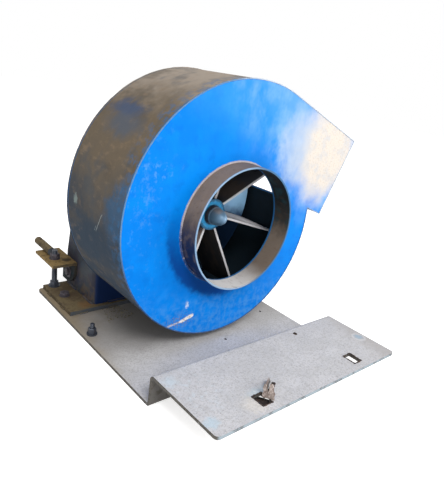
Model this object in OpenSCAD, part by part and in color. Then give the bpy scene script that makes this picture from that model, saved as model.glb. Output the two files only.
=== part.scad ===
// Industrial centrifugal blower: a sheet-metal scroll casing on a bearing pedestal and a Z-bent base.
// X runs along the front plate, Y along the shaft from the inlet to the drive end, and Z is up.
// The origin is on the floor below the shaft, in the plane of the casing's front face.

/* [Casing] */
// Height of the shaft above the floor
shaft_h = 170; // [167:200]
// Width of the casing along the shaft, over both side plates
casing_w = 135; // [125:170]
// Thickness of the casing's sheet
sheet_t = 2.5; // [1.5:0.5:4]
// Radius of the scroll's first quarter, from the tongue to the bottom
scroll_r = 147.5; // [145:150]
// Growth of the scroll's radius from one quarter to the next
scroll_step = 12.8; // [10:0.2:14]
// Sideways shift of the scroll's centre from the shaft
scroll_shift_x = 5.9; // [5:0.1:7]
// Downward shift of the scroll's centre from the shaft
scroll_shift_z = 0.9; // [0:0.1:2]
// Angle of the outlet below the horizontal
outlet_drop = 21.4; // [15:0.2:26]
// Length of the outlet's straight upper wall
outlet_len = 157; // [140:180]
// Height of the outlet's mouth, over both walls
outlet_h = 120; // [112:126]
// Angle by which the mouth's lower end is drawn back
mouth_slant = 2.5; // [0:0.5:5]
// Distance by which the rear plate stops short of the outlet's mouth
back_short = 30; // [0:5:40]
// Outer radius of the inlet collar
collar_r = 80; // [60:85]
// Wall of the inlet collar
collar_t = 2; // [1.5:0.5:5]
// Length of the inlet collar in front of the casing
collar_len = 28; // [20:50]

/* [Impeller] */
// Radius of the impeller's back disc
disc_r = 137; // [120:139]
// Thickness of the back disc
disc_t = 3; // [2:0.5:5]
// Distance from the casing's front face to the blades' front edges
blade_front = 45; // [36:60]
// Clear space between the back disc and the casing's rear plate
disc_gap = 11.5; // [9:0.5:16]
// Thickness of a blade
blade_t = 3; // [2:0.5:5]
// Distance of a blade's tip from the disc's edge
blade_inset = 1; // [0:0.5:6]
// Angle of the first blade from the horizontal, seen from the inlet
blade_phase = -17; // [-45:45]
// Radius of the hub
hub_r = 21.5; // [20:28]
// Length of the hub in front of the blades' front edges
hub_proud = 5; // [2:10]
// Length of the hub behind the back disc
hub_tail = 6; // [3:8]
// Radius of the nose cap
cap_r = 11.5; // [10.5:0.5:13]
// Length of the nose cap's dome
cap_dome_len = 17.5; // [15:0.5:26]
// Radius of the nose cap's round tip
cap_tip_r = 4; // [3:0.5:6]
// Length of the nose cap's straight rim
cap_rim = 6; // [4:10]
// Radius of the washer behind the nose cap
cap_washer_r = 12.5; // [11:0.5:16]
// Thickness of the washer behind the nose cap
cap_washer_t = 4; // [2:6]

/* [Shaft] */
// Radius of the shaft
shaft_r = 12.5; // [10:0.5:14]
// Radius of the shaft's threaded nose
shaft_nose_r = 7; // [5:0.5:8]
// Depth of the nose thread in the cap
nose_depth = 10; // [8:12]
// Length of the bare drive end behind the rear bearing
drive_len = 55; // [40:90]
// Chamfer at the drive end
shaft_chamfer = 1.5; // [0.5:0.5:3]
// Width of both keys
key_w = 8; // [6:8]
// Height of both keys
key_h = 7; // [5:8]
// Length of the drive key
drive_key_len = 36; // [24:38]
// Distance of the drive key from the shaft's end
drive_key_end = 4; // [3:10]
// Length of the hub key
hub_key_len = 50; // [30:70]

/* [Base] */
// Distance of the base plate's left edge from the pedestal's side
base_out_left = 44; // [40:60]
// Distance of the base plate's right edge from the pedestal's side
base_out_right = 29; // [25:60]
// Thickness of the base plate
base_t = 4; // [3:0.5:5]
// Distance of the base plate's rear edge behind the pedestal
base_tail = 3; // [2:30]
// Distance from the casing's front face forward to the riser's rear face
riser_y = 75.6; // [40:100]
// Height of the raised front plate's top above the lower plate's top
base_rise = 37.7; // [25:50]
// Depth of the raised front plate
raised_len = 112; // [100:140]
// Inner radius of the two bends
bend_r = 3; // [1:0.5:6]
// Corner radius of the base plate
base_corner_r = 5; // [2:8]
// Width of each bolt hole in the raised plate
slot_w = 14; // [10:18]
// Length of each bolt hole in the raised plate
slot_len = 18; // [16:24]
// Distance of the bolt holes' centres from the front edge
slot_front = 19; // [16:30]
// Distance of the left bolt hole from the shaft
slot_left_x = 81; // [60:110]
// Distance of the right bolt hole from the shaft
slot_right_x = 77; // [60:110]
// Length of the tear that runs from the left bolt hole
tear_len = 34; // [20:40]
// Width of the tear
tear_w = 6; // [4:8]
// Height of the lug of metal torn up beside the tear
tear_lug_h = 12; // [6:16]
// Radius of the small drilled holes
pilot_r = 2; // [1:0.5:3]
// Distance from the casing's front face back to the base studs
base_stud_y = 81; // [60:110]
// Distance of the base studs from the base plate's side edges
base_stud_in = 12; // [10:20]
// Height of the base studs above the plate
base_stud_h = 16; // [12:24]

/* [Pedestal] */
// Half the width of the pedestal
pedestal_half = 114; // [108:120]
// Thickness of the plate between the casing and the pedestal
mount_t = 9; // [6:0.5:12]
// Depth of the pedestal at its foot
pedestal_depth = 89; // [86:90]
// Thickness of the pedestal's sheet
pedestal_t = 5; // [4:0.5:6]
// Inner radius of the pedestal's folds
pedestal_fold_r = 3; // [1:0.5:5]
// Height on the side plates at which their rear edges start to slope
slope_start = 62; // [50:80]
// Distance by which the rear edges slope forward at the top
slope_in = 12; // [4:14]
// Thickness of the pedestal's top plate
top_t = 8; // [6:12]
// Distance of the top plate's ends from the pedestal's sides
top_in = 1; // [0:0.5:3]
// Thickness of the foot plate
foot_t = 6; // [4:8]
// Distance of the foot plate's left and right edges from the base's
foot_inset = 7; // [4:10]
// Distance of the foot plate's front edge in front of the pedestal
foot_lead = 7; // [2:8]
// Distance of the foot plate's rear edge behind the pedestal
foot_trail = 1; // [0:0.5:2]

/* [Bearings] */
// Height of the bearings' centre above their seat
bearing_h = 36.5; // [34:40]
// Half the length of a bearing housing
housing_half = 70; // [66:76]
// Width of a bearing housing's foot
housing_w = 36; // [30:36]
// Thickness of a bearing housing's foot
housing_foot_t = 14; // [10:16]
// Outer radius of a bearing housing's round body
housing_r = 34; // [31:36]
// Distance of the bearing bolts from the shaft
bearing_bolt_x = 52.5; // [50:56]
// Outer radius of a bearing insert
insert_r = 26; // [25:28]
// Width of a bearing's outer ring
outer_ring_w = 15; // [12:18]
// Width of a bearing's inner ring
inner_ring_w = 34; // [28:34]
// Radius of the bearing balls
ball_r = 4; // [3:0.5:4]
// Number of balls in a bearing
ball_n = 9; // [7:10]
// Distance from the pedestal's front face to the front bearing's centre
bearing_1_y = 20; // [19:22]
// Distance between the two bearings
bearing_pitch = 38; // [37:40]

/* [Tension bracket] */
// Width of the bracket's shelf
shelf_w = 33; // [30:36]
// Length of the bracket's shelf along the shaft
shelf_len = 66; // [56:76]
// Distance from the pedestal's front face to the shelf's near edge
shelf_in = 54; // [50:60]
// Height of the shelf's top above the floor
shelf_z = 55; // [50:60]
// Thickness of the bracket's plate
bracket_t = 4; // [3:0.5:5]
// Length of the bracket's leg along the shaft
leg_len = 40; // [34:44]
// Height of the bracket's leg below the shelf
leg_h = 34; // [30:36]
// Radius of the leg's round front corner
leg_round = 26; // [16:28]
// Distance of the jack stud from the pedestal's side
stud_out = 23; // [21:24]
// Distance of the jack stud behind the shelf's near edge
stud_back = 28; // [22:30]
// Radius of the jack stud
stud_r = 4; // [3.5:0.5:5]
// Height of the jack stud above the shelf
stud_above = 13.2; // [13:0.2:24]
// Radius of the pivot rod
rod_r = 6; // [4:0.5:7]
// Length of the pivot rod
rod_len = 52; // [40:60]
// Distance by which the pivot rod stands out behind the shelf
rod_out = 26; // [16:30]
// Radius of the pivot rod's cross hole
rod_hole_r = 2; // [1.5:0.5:2.5]
// Travel of the bracket up and down from where it stands
bracket_travel = 4; // [3:4]

/* [Hidden] */
$fn = 96;
// How far a cut runs past the faces that it opens
overrun = 1;
// Radial clearance of the shaft in its seal, and of the stud in its nuts
run_fit = 0.05;
// Clearance between pieces that move past each other
body_gap = 0.3;
// Half of anything
in_share = 0.5;
// One blade per node
blade_n = 8;

// Casing: four quarter arcs about the corners of a small square, then a straight outlet
half_step = scroll_step * in_share;
arc_r = [for (i = [0:3]) scroll_r + i * scroll_step];
arc_c = [
    [scroll_shift_x - half_step, -scroll_shift_z - half_step],
    [scroll_shift_x - half_step, -scroll_shift_z + half_step],
    [scroll_shift_x + half_step, -scroll_shift_z + half_step],
    [scroll_shift_x + half_step, -scroll_shift_z - half_step],
];
out_dir = [cos(outlet_drop), -sin(outlet_drop)];
out_up = [sin(outlet_drop), cos(outlet_drop)];
mouth_dir = [-sin(outlet_drop + mouth_slant), -cos(outlet_drop + mouth_slant)];
wall_start = arc_c[3] + arc_r[3] * out_up;
mouth_top = wall_start + outlet_len * out_dir;
mouth_low = mouth_top + outlet_h * mouth_dir;
// The straight walls start this far inside the arcs, so that each one crosses its arc cleanly
wall_tuck = 0.05;
// Hole in the casing's rear plate, around the hub's tail
back_hole_r = 40;

// Point of the outlet floor, moved up by `inset`, where it stands above `x`
function floor_at(x, inset) =
    let (foot = mouth_low + inset * out_up)
    foot + out_dir * ((x - foot[0]) / out_dir[0]);

// Where the scroll's right side stands upright below the tongue
function side_x(inset) = arc_c[0][0] + arc_r[0] - inset - wall_tuck;

// Shaft and bearings
pedestal_front = casing_w + mount_t;
disc_front = casing_w - sheet_t - disc_gap - disc_t;
hub_front = blade_front - hub_proud;
hub_back = disc_front + disc_t + hub_tail;
cap_back = hub_front - cap_washer_t;
nose_end = cap_back - nose_depth;
bearing_y = [pedestal_front + bearing_1_y, pedestal_front + bearing_1_y + bearing_pitch];
shaft_end = bearing_y[1] + inner_ring_w * in_share + drive_len;
seat_z = shaft_h - bearing_h;
inner_ring_r = insert_r - ball_r * 2 - ball_r * in_share;
pitch_r = (shaft_r + insert_r) * in_share;
groove_r = ball_r + body_gap;

// Pedestal and base
base_left = pedestal_half + base_out_left;
base_right = pedestal_half + base_out_right;
top_half = pedestal_half - top_in;
foot_top = base_t + foot_t;
foot_left = base_left - foot_inset;
foot_right = base_right - foot_inset;
foot_front = pedestal_front - foot_lead;
pedestal_rear = pedestal_front + pedestal_depth;
foot_rear = pedestal_rear + foot_trail;
base_rear = pedestal_rear + base_tail;
shell_top = seat_z - top_t;
raised_z = base_t + base_rise;
front_y = riser_y + raised_len;
raised_back = riser_y + base_t + bend_r;
// Places of the two foot bolts on the right, as shares of the foot plate's depth, then of the left one
far_foot_shares = [0.2, 0.8];
near_foot_share = 0.53;
// Places of the small holes, as shares of the plate to the right of the shaft and behind the casing's front
pilot_shares = [[0.06, -0.055], [0.8, 0.11], [0.39, -0.39]];

// Tear at the left bolt hole: its angle, where it starts in the hole, and its width at the far end
tear_turn = 33;
tear_start_share = 0.3;
tear_narrow_share = 0.45;
// Outline of the lug beside the tear, as shares of its length and height
lug_shares = [[0.3, 0], [1, 0], [1, 0.3], [0.75, 1], [0.5, 0.75]];

// Mounting plate between the casing and the pedestal: how far its ends stand in from the pedestal's sides,
// and its edges from the shaft
mount_in = 24;
mount_half = pedestal_half - mount_in;
mount_low = 90;
mount_high = 85;
// Bolts that join it to the pedestal, as shares of half its width
mounting_bolt_shares = [0.3, 0.62];
// Seal over the shaft's hole: the plate, its boss, the felt in it, and its ring of screws
seal_r = 55;
seal_t = 3;
seal_boss_r = 24;
seal_boss_len = 6;
felt_r = 20;
mount_hole_gap = 5;
screw_pcd_r = 48;
screw_n = 6;

// Tension bracket: an angle that slides up and down on the pedestal's left side
shelf_front = pedestal_front + shelf_in;
leg_x = -pedestal_half - body_gap - bracket_t;
stud_x = -pedestal_half - stud_out;
stud_y = shelf_front + stud_back;
guide_y = shelf_front + leg_len * in_share;
guide_z = shelf_z - bracket_t - leg_h * in_share;
rod_rear = shelf_front + shelf_len + rod_out;

// Bolt sizes: shank radius, width over the corners as a radius, and head height
m6 = [3, 5.5, 4];
m8 = [4, 7.2, 5.3];
m10 = [5, 9.2, 6.4];
nut_h = 8;
washer_t = 2;
washer_extra_r = 1.5;
// Narrow tip of a grease nipple, as a share of its base
nipple_share = 0.6;

// A plate or bar of outline `children()` in the plane of the casing, from `y` back by `w`
module across(y, w) {
    translate([0, y + w, shaft_h]) rotate([90, 0, 0]) linear_extrude(w) children();
}

// A round bar about the shaft's axis, from `y` back by `w`, whose radius is `r`
module about_shaft(y, w, r) {
    across(y, w) circle(r);
}

// A ring about the shaft's axis
module ring(y, w, r_out, r_in) {
    difference() {
        about_shaft(y, w, r_out);
        about_shaft(y - overrun, w + 2 * overrun, r_in);
    }
}

// Part of the disc about arc centre `i`, between two corners given as shares of its radius
module disc_part(i, inset, low_share, high_share) {
    r = arc_r[i] - inset;
    low = r * low_share;
    high = r * high_share;
    translate(arc_c[i]) intersection() {
        circle(r);
        polygon([low, [high[0], low[1]], high, [low[0], high[1]]]);
    }
}

// Outline of the scroll, drawn in by `inset`; its mouth is moved out by `past`.
// Each disc lies inside the next one and touches it where the arc hands over.
module volute(inset, past) {
    translate(arc_c[0]) circle(arc_r[0] - inset);
    disc_part(1, inset, [-1, -1], [0, 1]);
    disc_part(2, inset, [-1, 0], [in_share, 1]);
    disc_part(3, inset, [0, 0], [in_share, 1]);
    top_inset = (inset + wall_tuck) * out_up;
    polygon([
        [side_x(inset), arc_c[0][1]],
        floor_at(side_x(inset), inset),
        mouth_low + inset * out_up + past * out_dir,
        mouth_top - top_inset + past * out_dir,
        wall_start - top_inset,
        arc_c[1],
    ]);
}

// Band that holds the outlet's floor plate, from inside the tongue to past the mouth
module floor_band() {
    tongue = floor_at(side_x(0), 0);
    start = floor_at(side_x(2 * sheet_t), 0);
    far = mouth_low + overrun * out_dir;
    polygon([
        start, tongue, tongue + overrun * (out_dir - out_up), far - overrun * out_up,
        far + 2 * sheet_t * out_up, start + 2 * sheet_t * out_up,
    ]);
}

// Band along the outlet's mouth, from outside it to this far inside
module mouth_strip(depth) {
    top = mouth_top - overrun * mouth_dir;
    low = mouth_low + overrun * mouth_dir;
    polygon([top - depth * out_dir, low - depth * out_dir, low + overrun * out_dir, top + overrun * out_dir]);
}

// Wall of the scroll, open at the mouth
module scroll_wall() {
    difference() {
        volute(0, 0);
        volute(sheet_t, outlet_len);
    }
}

module front_plate() {
    color("dodgerblue") across(0, sheet_t) difference() {
        volute(0, 0);
        circle(collar_r - collar_t);
    }
}

module inlet_collar() {
    color("slategray") ring(-collar_len, collar_len, collar_r, collar_r - collar_t);
}

module scroll_wrap() {
    color("dimgray") across(sheet_t, casing_w - 2 * sheet_t) difference() {
        scroll_wall();
        floor_band();
    }
}

module outlet_floor() {
    color("steelblue") across(sheet_t, casing_w - 2 * sheet_t) intersection() {
        scroll_wall();
        floor_band();
    }
}

module back_plate() {
    color("dimgray") difference() {
        across(casing_w - sheet_t, sheet_t) difference() {
            volute(0, 0);
            circle(back_hole_r);
            mouth_strip(back_short);
        }
        seal_screw_places() bolt_hole(m6, casing_w - sheet_t, sheet_t);
        casing_bolt_places() bolt_hole(m8, casing_w - sheet_t, sheet_t);
    }
}

// Places of the bolts, as turns and shifts about the shaft's axis
module seal_screw_places() {
    for (i = [0:screw_n - 1]) translate([0, 0, shaft_h]) rotate([0, i * 360 / screw_n, 0])
        translate([screw_pcd_r, 0, 0]) children();
}

module casing_bolt_places() {
    inset = 2 * m8[1];
    for (sx = [-1, 1]) for (z = [-mount_low + inset, mount_high - inset])
        translate([sx * (mount_half - inset), 0, shaft_h + z]) children();
}

module mounting_bolt_places() {
    z = shaft_h - (mount_low + bearing_h + top_t) * in_share;
    for (sx = [-1, 1]) for (share = mounting_bolt_shares)
        translate([sx * mount_half * share, 0, z]) children();
}

// A hole for bolt `b` through a plate from `y` back by `w`, about the place's own axis
module bolt_hole(b, y, w) {
    translate([0, y + w + overrun, 0]) rotate([90, 0, 0]) cylinder(r = b[0], h = w + 2 * overrun);
}

// A hexagon bolt whose head's seat is at `y`; `side` is -1 where the head is on the inlet side
module bolt_y(b, y, grip, side) {
    head_y = side < 0 ? y : y + b[2];
    shank_y = side < 0 ? y + grip : y;
    translate([0, head_y, 0]) rotate([90, 0, 0]) cylinder(r = b[1], h = b[2], $fn = 6);
    translate([0, shank_y, 0]) rotate([90, 0, 0]) cylinder(r = b[0], h = grip);
}

module mounting_plate() {
    color("midnightblue") difference() {
        across(casing_w, mount_t) difference() {
            polygon([
                [-mount_half, -mount_low], [mount_half, -mount_low],
                [mount_half, mount_high], [-mount_half, mount_high],
            ]);
            circle(seal_r + mount_hole_gap);
        }
        casing_bolt_places() bolt_hole(m8, casing_w, mount_t);
        mounting_bolt_places() bolt_hole(m8, casing_w, mount_t);
    }
}

module casing_bolts() {
    color("gray") casing_bolt_places() bolt_y(m8, casing_w - sheet_t, mount_t + sheet_t - body_gap, -1);
}

module mounting_bolts() {
    color("gray") mounting_bolt_places()
        bolt_y(m8, pedestal_front + pedestal_t, mount_t + pedestal_t - body_gap, 1);
}

module seal_plate() {
    color("slategray") difference() {
        union() {
            about_shaft(casing_w, seal_t, seal_r);
            about_shaft(casing_w + seal_t, seal_boss_len, seal_boss_r);
        }
        about_shaft(casing_w - overrun, seal_t + seal_boss_len + 2 * overrun, felt_r);
        seal_screw_places() bolt_hole(m6, casing_w, seal_t);
    }
}

module shaft_seal() {
    color("saddlebrown") ring(casing_w, seal_t + seal_boss_len, felt_r, shaft_r + run_fit);
}

module seal_screws() {
    color("gray") seal_screw_places() bolt_y(m6, casing_w + seal_t, seal_t + sheet_t, 1);
}

module shaft() {
    rear_key_y = shaft_end - drive_key_end - drive_key_len;
    color("silver") difference() {
        union() {
            about_shaft(hub_front, shaft_end - shaft_chamfer - hub_front, shaft_r);
            about_shaft(nose_end, hub_front - nose_end, shaft_nose_r);
            translate([0, shaft_end, shaft_h]) rotate([90, 0, 0])
                cylinder(r1 = shaft_r - shaft_chamfer, r2 = shaft_r, h = shaft_chamfer);
        }
        key_box(rear_key_y, drive_key_len);
        key_box(hub_back - hub_key_len, hub_key_len);
    }
}

// The space of a key that lies half in the shaft, on its upper side
module key_box(y, len) {
    translate([-key_w * in_share, y, shaft_h + shaft_r - key_h * in_share]) cube([key_w, len, key_h]);
}

module hub() {
    color("deepskyblue") difference() {
        about_shaft(hub_front, hub_back - hub_front, hub_r);
        about_shaft(hub_front - overrun, hub_back - hub_front + 2 * overrun, shaft_r);
        key_box(hub_back - hub_key_len, hub_key_len);
    }
}

module hub_key() {
    color("gray") key_box(hub_back - hub_key_len, hub_key_len);
}

module drive_key() {
    color("gray") key_box(shaft_end - drive_key_end - drive_key_len, drive_key_len);
}

module back_disc() {
    color("steelblue") ring(disc_front, disc_t, disc_r, hub_r);
}

module blade(i) {
    color("lightslategray") translate([0, 0, shaft_h]) rotate([0, -blade_phase - i * 360 / blade_n, 0])
        difference() {
            translate([0, blade_front, -blade_t * in_share])
                cube([disc_r - blade_inset, disc_front - blade_front, blade_t]);
            translate([0, disc_front + overrun, 0]) rotate([90, 0, 0])
                cylinder(r = hub_r, h = disc_front - blade_front + 2 * overrun);
        }
}

module cap_washer() {
    color("darkslategray") ring(hub_front - cap_washer_t, cap_washer_t, cap_washer_r, shaft_nose_r);
}

module nose_cap() {
    // The dome's arc is centred past the axis, so that it leaves the rim straight and meets the round tip
    thin = cap_r - cap_tip_r;
    slender = cap_dome_len - cap_tip_r;
    arc_past = (slender * slender / thin - thin) * in_share;
    arc_r = cap_r + arc_past;
    meet_x = arc_past * cap_tip_r / (arc_r - cap_tip_r);
    meet_z = cap_rim + slender * arc_r / (arc_r - cap_tip_r);
    color("lightskyblue") translate([0, cap_back, shaft_h]) rotate([90, 0, 0]) rotate_extrude() difference() {
        union() {
            square([cap_r, cap_rim]);
            intersection() {
                translate([-arc_past, cap_rim]) circle(arc_r);
                square([cap_r, meet_z]);
            }
            intersection() {
                translate([0, cap_rim + slender]) circle(cap_tip_r);
                translate([0, cap_rim]) square([meet_x, cap_dome_len]);
            }
        }
        square([shaft_nose_r, nose_depth]);
    }
}

module housing(i) {
    y = bearing_y[i];
    color("darkolivegreen") difference() {
        union() {
            translate([-housing_half, y - housing_w * in_share, seat_z])
                cube([2 * housing_half, housing_w, housing_foot_t]);
            about_shaft(y - housing_w * in_share, housing_w, housing_r);
        }
        about_shaft(y - housing_w, 2 * housing_w, insert_r);
        for (sx = [-1, 1]) translate([sx * bearing_bolt_x, y, seat_z - overrun])
            cylinder(r = m10[0], h = housing_foot_t + 2 * overrun);
        translate([0, y, shaft_h]) cylinder(r = m6[0], h = 2 * housing_r);
    }
}

module outer_ring(i) {
    y = bearing_y[i] - outer_ring_w * in_share;
    color("silver") difference() {
        ring(y, outer_ring_w, insert_r, insert_r - ball_r);
        ball_groove(i);
    }
}

module inner_ring(i) {
    y = bearing_y[i] - inner_ring_w * in_share;
    color("silver") difference() {
        ring(y, inner_ring_w, inner_ring_r, shaft_r);
        ball_groove(i);
        set_screw_hole(i);
    }
}

module ball_groove(i) {
    translate([0, bearing_y[i], shaft_h]) rotate([90, 0, 0]) rotate_extrude()
        translate([pitch_r, 0]) circle(groove_r);
}

// Hole of the set screw that locks a bearing to the shaft, near the ring's rear end
module set_screw_hole(i) {
    y = bearing_y[i] + inner_ring_w * in_share - m6[0] - overrun;
    translate([0, y, shaft_h]) rotate([0, 45, 0]) cylinder(r = m6[0] * in_share, h = inner_ring_r + overrun);
}

module set_screws() {
    color("dimgray") for (i = [0, 1]) intersection() {
        set_screw_hole(i);
        ring(bearing_y[i] - inner_ring_w * in_share, inner_ring_w, inner_ring_r, shaft_r);
    }
}

module bearing_balls() {
    color("silver") for (i = [0, 1]) for (k = [0:ball_n - 1])
        translate([0, bearing_y[i], shaft_h]) rotate([0, k * 360 / ball_n, 0]) translate([pitch_r, 0, 0])
            sphere(r = ball_r, $fn = 32);
}

module grease_nipples() {
    color("goldenrod") for (i = [0, 1]) translate([0, bearing_y[i], shaft_h + insert_r + body_gap]) {
        cylinder(r = m6[0], h = housing_r - insert_r + m6[2]);
        translate([0, 0, housing_r - insert_r + m6[2]]) cylinder(r = m6[0] * nipple_share, h = m6[2]);
    }
}

module bearing_bolt_places() {
    for (i = [0, 1]) for (sx = [-1, 1]) translate([sx * bearing_bolt_x, bearing_y[i], 0]) children();
}

module bearing_bolts() {
    grip = housing_foot_t + top_t + nut_h;
    color("gray") bearing_bolt_places() translate([0, 0, seat_z + housing_foot_t]) {
        cylinder(r = m10[1], h = m10[2], $fn = 6);
        translate([0, 0, -grip]) cylinder(r = m10[0], h = grip);
    }
}

module bearing_nuts() {
    color("gray") bearing_bolt_places() translate([0, 0, shell_top - nut_h]) difference() {
        cylinder(r = m10[1], h = nut_h, $fn = 6);
        translate([0, 0, -overrun]) cylinder(r = m10[0], h = nut_h + 2 * overrun);
    }
}

module pedestal_top() {
    depth = pedestal_depth - slope_in;
    color("navy") difference() {
        translate([-top_half, pedestal_front, shell_top]) cube([2 * top_half, depth, top_t]);
        bearing_bolt_places() translate([0, 0, shell_top - overrun])
            cylinder(r = m10[0], h = top_t + 2 * overrun);
    }
}

// Plan of the folded sheet: a front wall and two side walls joined by round folds
module shell_plan() {
    r_out = pedestal_fold_r + pedestal_t;
    difference() {
        folded_outline(pedestal_half, 0, r_out);
        folded_outline(pedestal_half - pedestal_t, pedestal_t, pedestal_fold_r);
    }
}

module folded_outline(half, y, r) {
    for (sx = [-1, 1]) translate([sx * (half - r), y + r]) circle(r);
    translate([-half + r, y]) square([2 * (half - r), r]);
    translate([-half, y + r]) square([2 * half, pedestal_depth * 2]);
}

module pedestal_shell() {
    slope_h = shell_top - slope_start;
    color("navy") difference() {
        intersection() {
            translate([0, pedestal_front, foot_top]) linear_extrude(shell_top - foot_top) shell_plan();
            side_outline(slope_h);
        }
        mounting_bolt_places() bolt_hole(m8, pedestal_front, pedestal_t);
        guide_slot();
    }
}

// Side view of the pedestal, whose rear edge slopes forward near the top
module side_outline(slope_h) {
    half = pedestal_half + overrun;
    translate([-half, 0, 0]) rotate([90, 0, 90]) linear_extrude(2 * half) polygon([
        [pedestal_front, foot_top], [pedestal_rear, foot_top], [pedestal_rear, slope_start],
        [pedestal_rear - slope_in, slope_start + slope_h], [pedestal_front, slope_start + slope_h],
    ]);
}

// Upright slot in the left side plate, in which the guide bolt rides
module guide_slot() {
    r = m8[0] + body_gap;
    for (dz = [-1, 1]) translate([-pedestal_half - overrun, guide_y, guide_z + dz * bracket_travel])
        rotate([0, 90, 0]) cylinder(r = r, h = pedestal_t + 2 * overrun);
    translate([-pedestal_half - overrun, guide_y - r, guide_z - bracket_travel])
        cube([pedestal_t + 2 * overrun, 2 * r, 2 * bracket_travel]);
}

module foot_plate() {
    color("darkkhaki") difference() {
        translate([-foot_left, foot_front, base_t])
            cube([foot_left + foot_right, foot_rear - foot_front, foot_t]);
        foot_bolt_places() translate([0, 0, base_t - overrun]) cylinder(r = m8[0], h = foot_t + 2 * overrun);
        translate([stud_x, stud_y, base_t - overrun]) cylinder(r = stud_r, h = foot_t + 2 * overrun);
    }
}

module foot_bolt_places() {
    depth = foot_rear - foot_front;
    far_x = (pedestal_half + foot_right) * in_share;
    translate([stud_x, foot_front + depth * near_foot_share, 0]) children();
    for (share = far_foot_shares) translate([far_x, foot_front + depth * share, 0]) children();
}

module foot_bolts() {
    color("gray") foot_bolt_places() {
        translate([0, 0, foot_top]) cylinder(r = m8[1], h = m8[2], $fn = 6);
        cylinder(r = m8[0], h = foot_top);
    }
}

// Profile of the base plate in the plane across the riser; X here is forward and Y is up
module base_profile() {
    r_in = bend_r;
    r_out = bend_r + base_t;
    difference() {
        union() {
            translate([-base_rear, 0]) square([base_rear + riser_y + base_t, base_t]);
            translate([riser_y, 0]) square([base_t, raised_z]);
            translate([riser_y, raised_z - base_t]) square([raised_back - riser_y, base_t]);
            translate([riser_y - r_in, base_t]) square([r_in, r_in]);
            translate([riser_y + base_t, raised_z - base_t - r_in]) square([r_in, r_in]);
        }
        translate([riser_y - r_in, base_t + r_in]) circle(r_in);
        translate([riser_y + base_t + r_in, raised_z - base_t - r_in]) circle(r_in);
        outer_corner(riser_y + base_t, 0, 1, -1, r_out);
        outer_corner(riser_y, raised_z, -1, 1, r_out);
    }
}

// What a bend of radius `r` takes off a square corner at (x, y) that points to (sx, sy)
module outer_corner(x, y, sx, sy, r) {
    difference() {
        translate([x - (sx > 0 ? r : 0), y - (sy > 0 ? r : 0)]) square([r, r]);
        translate([x - sx * r, y - sy * r]) circle(r);
    }
}

// Plan of the base plate, with round corners
module base_plan() {
    x0 = -base_left;
    x1 = base_right;
    r = base_corner_r;
    for (x = [x0 + r, x1 - r]) for (y = [-front_y + r, base_rear - r]) translate([x, y]) circle(r);
    translate([x0 + r, -front_y]) square([x1 - x0 - 2 * r, front_y + base_rear]);
    translate([x0, -front_y + r]) square([x1 - x0, front_y + base_rear - 2 * r]);
}

// The lower plate with its two bends, up to where the raised plate joins it
module base_plate() {
    color("lightgray") difference() {
        intersection() {
            translate([-base_left - overrun, 0, 0]) rotate([90, 0, 90]) mirror([1, 0, 0])
                linear_extrude(base_left + base_right + 2 * overrun) base_profile();
            linear_extrude(raised_z) base_plan();
        }
        pilot_holes();
        foot_bolt_places() translate([0, 0, -overrun]) cylinder(r = m8[0], h = base_t + 2 * overrun);
    }
}

module raised_plate() {
    slot_y = -front_y + slot_front;
    color("lightgray") difference() {
        union() {
            intersection() {
                translate([-base_left - overrun, -front_y - overrun, raised_z - base_t])
                    cube([base_left + base_right + 2 * overrun, front_y + overrun - raised_back, base_t]);
                linear_extrude(raised_z) base_plan();
            }
            torn_lug();
        }
        for (x = [-slot_left_x, slot_right_x])
            translate([x - slot_w * in_share, slot_y - slot_len * in_share, raised_z - base_t - overrun])
                cube([slot_w, slot_len, base_t + 2 * overrun]);
        tear_cut();
        pilot_holes();
    }
}

module pilot_holes() {
    for (share = pilot_shares) translate([base_right * share[0], base_rear * share[1], -overrun])
        cylinder(r = pilot_r, h = raised_z + 2 * overrun);
}

// Frame of the tear: its X runs along the tear from the left bolt hole
module at_tear() {
    x = -slot_left_x + slot_w * tear_start_share;
    y = -front_y + slot_front - slot_len * tear_start_share;
    translate([x, y, raised_z]) rotate([0, 0, tear_turn]) children();
}

module tear_cut() {
    at_tear() translate([0, 0, -base_t - overrun]) linear_extrude(base_t + 2 * overrun)
        polygon([[0, 0], [tear_len, 0], [tear_len, tear_w * tear_narrow_share], [0, tear_w]]);
}

// Metal torn up along the tear's far side, highest in the middle
module torn_lug() {
    at_tear() translate([0, tear_w + base_t * in_share, -base_t * in_share]) rotate([90, 0, 0])
        linear_extrude(base_t * in_share)
            polygon([for (share = lug_shares) [tear_len * share[0], tear_lug_h * share[1]]]);
}

// Studs at both sides of the lower plate, by which the base is held down
module base_stud_places() {
    for (x = [-base_left + base_stud_in, base_right - base_stud_in])
        translate([x, base_stud_y, base_t]) children();
}

module base_studs() {
    color("gray") base_stud_places() cylinder(r = m6[0], h = base_stud_h);
}

module base_stud_nuts() {
    color("slategray") base_stud_places() difference() {
        union() {
            cylinder(r = m6[1] + washer_extra_r, h = washer_t);
            translate([0, 0, washer_t]) cylinder(r = m6[1], h = nut_h, $fn = 6);
        }
        translate([0, 0, -overrun]) cylinder(r = m6[0], h = base_stud_h);
    }
}

// An angle: the shelf, and the leg that slides on the pedestal
module tension_bracket() {
    shelf_left = leg_x - shelf_w;
    color("darkkhaki") difference() {
        union() {
            translate([shelf_left, shelf_front, shelf_z - bracket_t])
                cube([shelf_w + bracket_t, shelf_len, bracket_t]);
            bracket_leg();
        }
        translate([stud_x, stud_y, shelf_z - bracket_t - overrun])
            cylinder(r = stud_r + body_gap, h = bracket_t + 2 * overrun);
        translate([leg_x - overrun, guide_y, guide_z]) rotate([0, 90, 0])
            cylinder(r = m8[0], h = bracket_t + 2 * overrun);
    }
}

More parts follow.
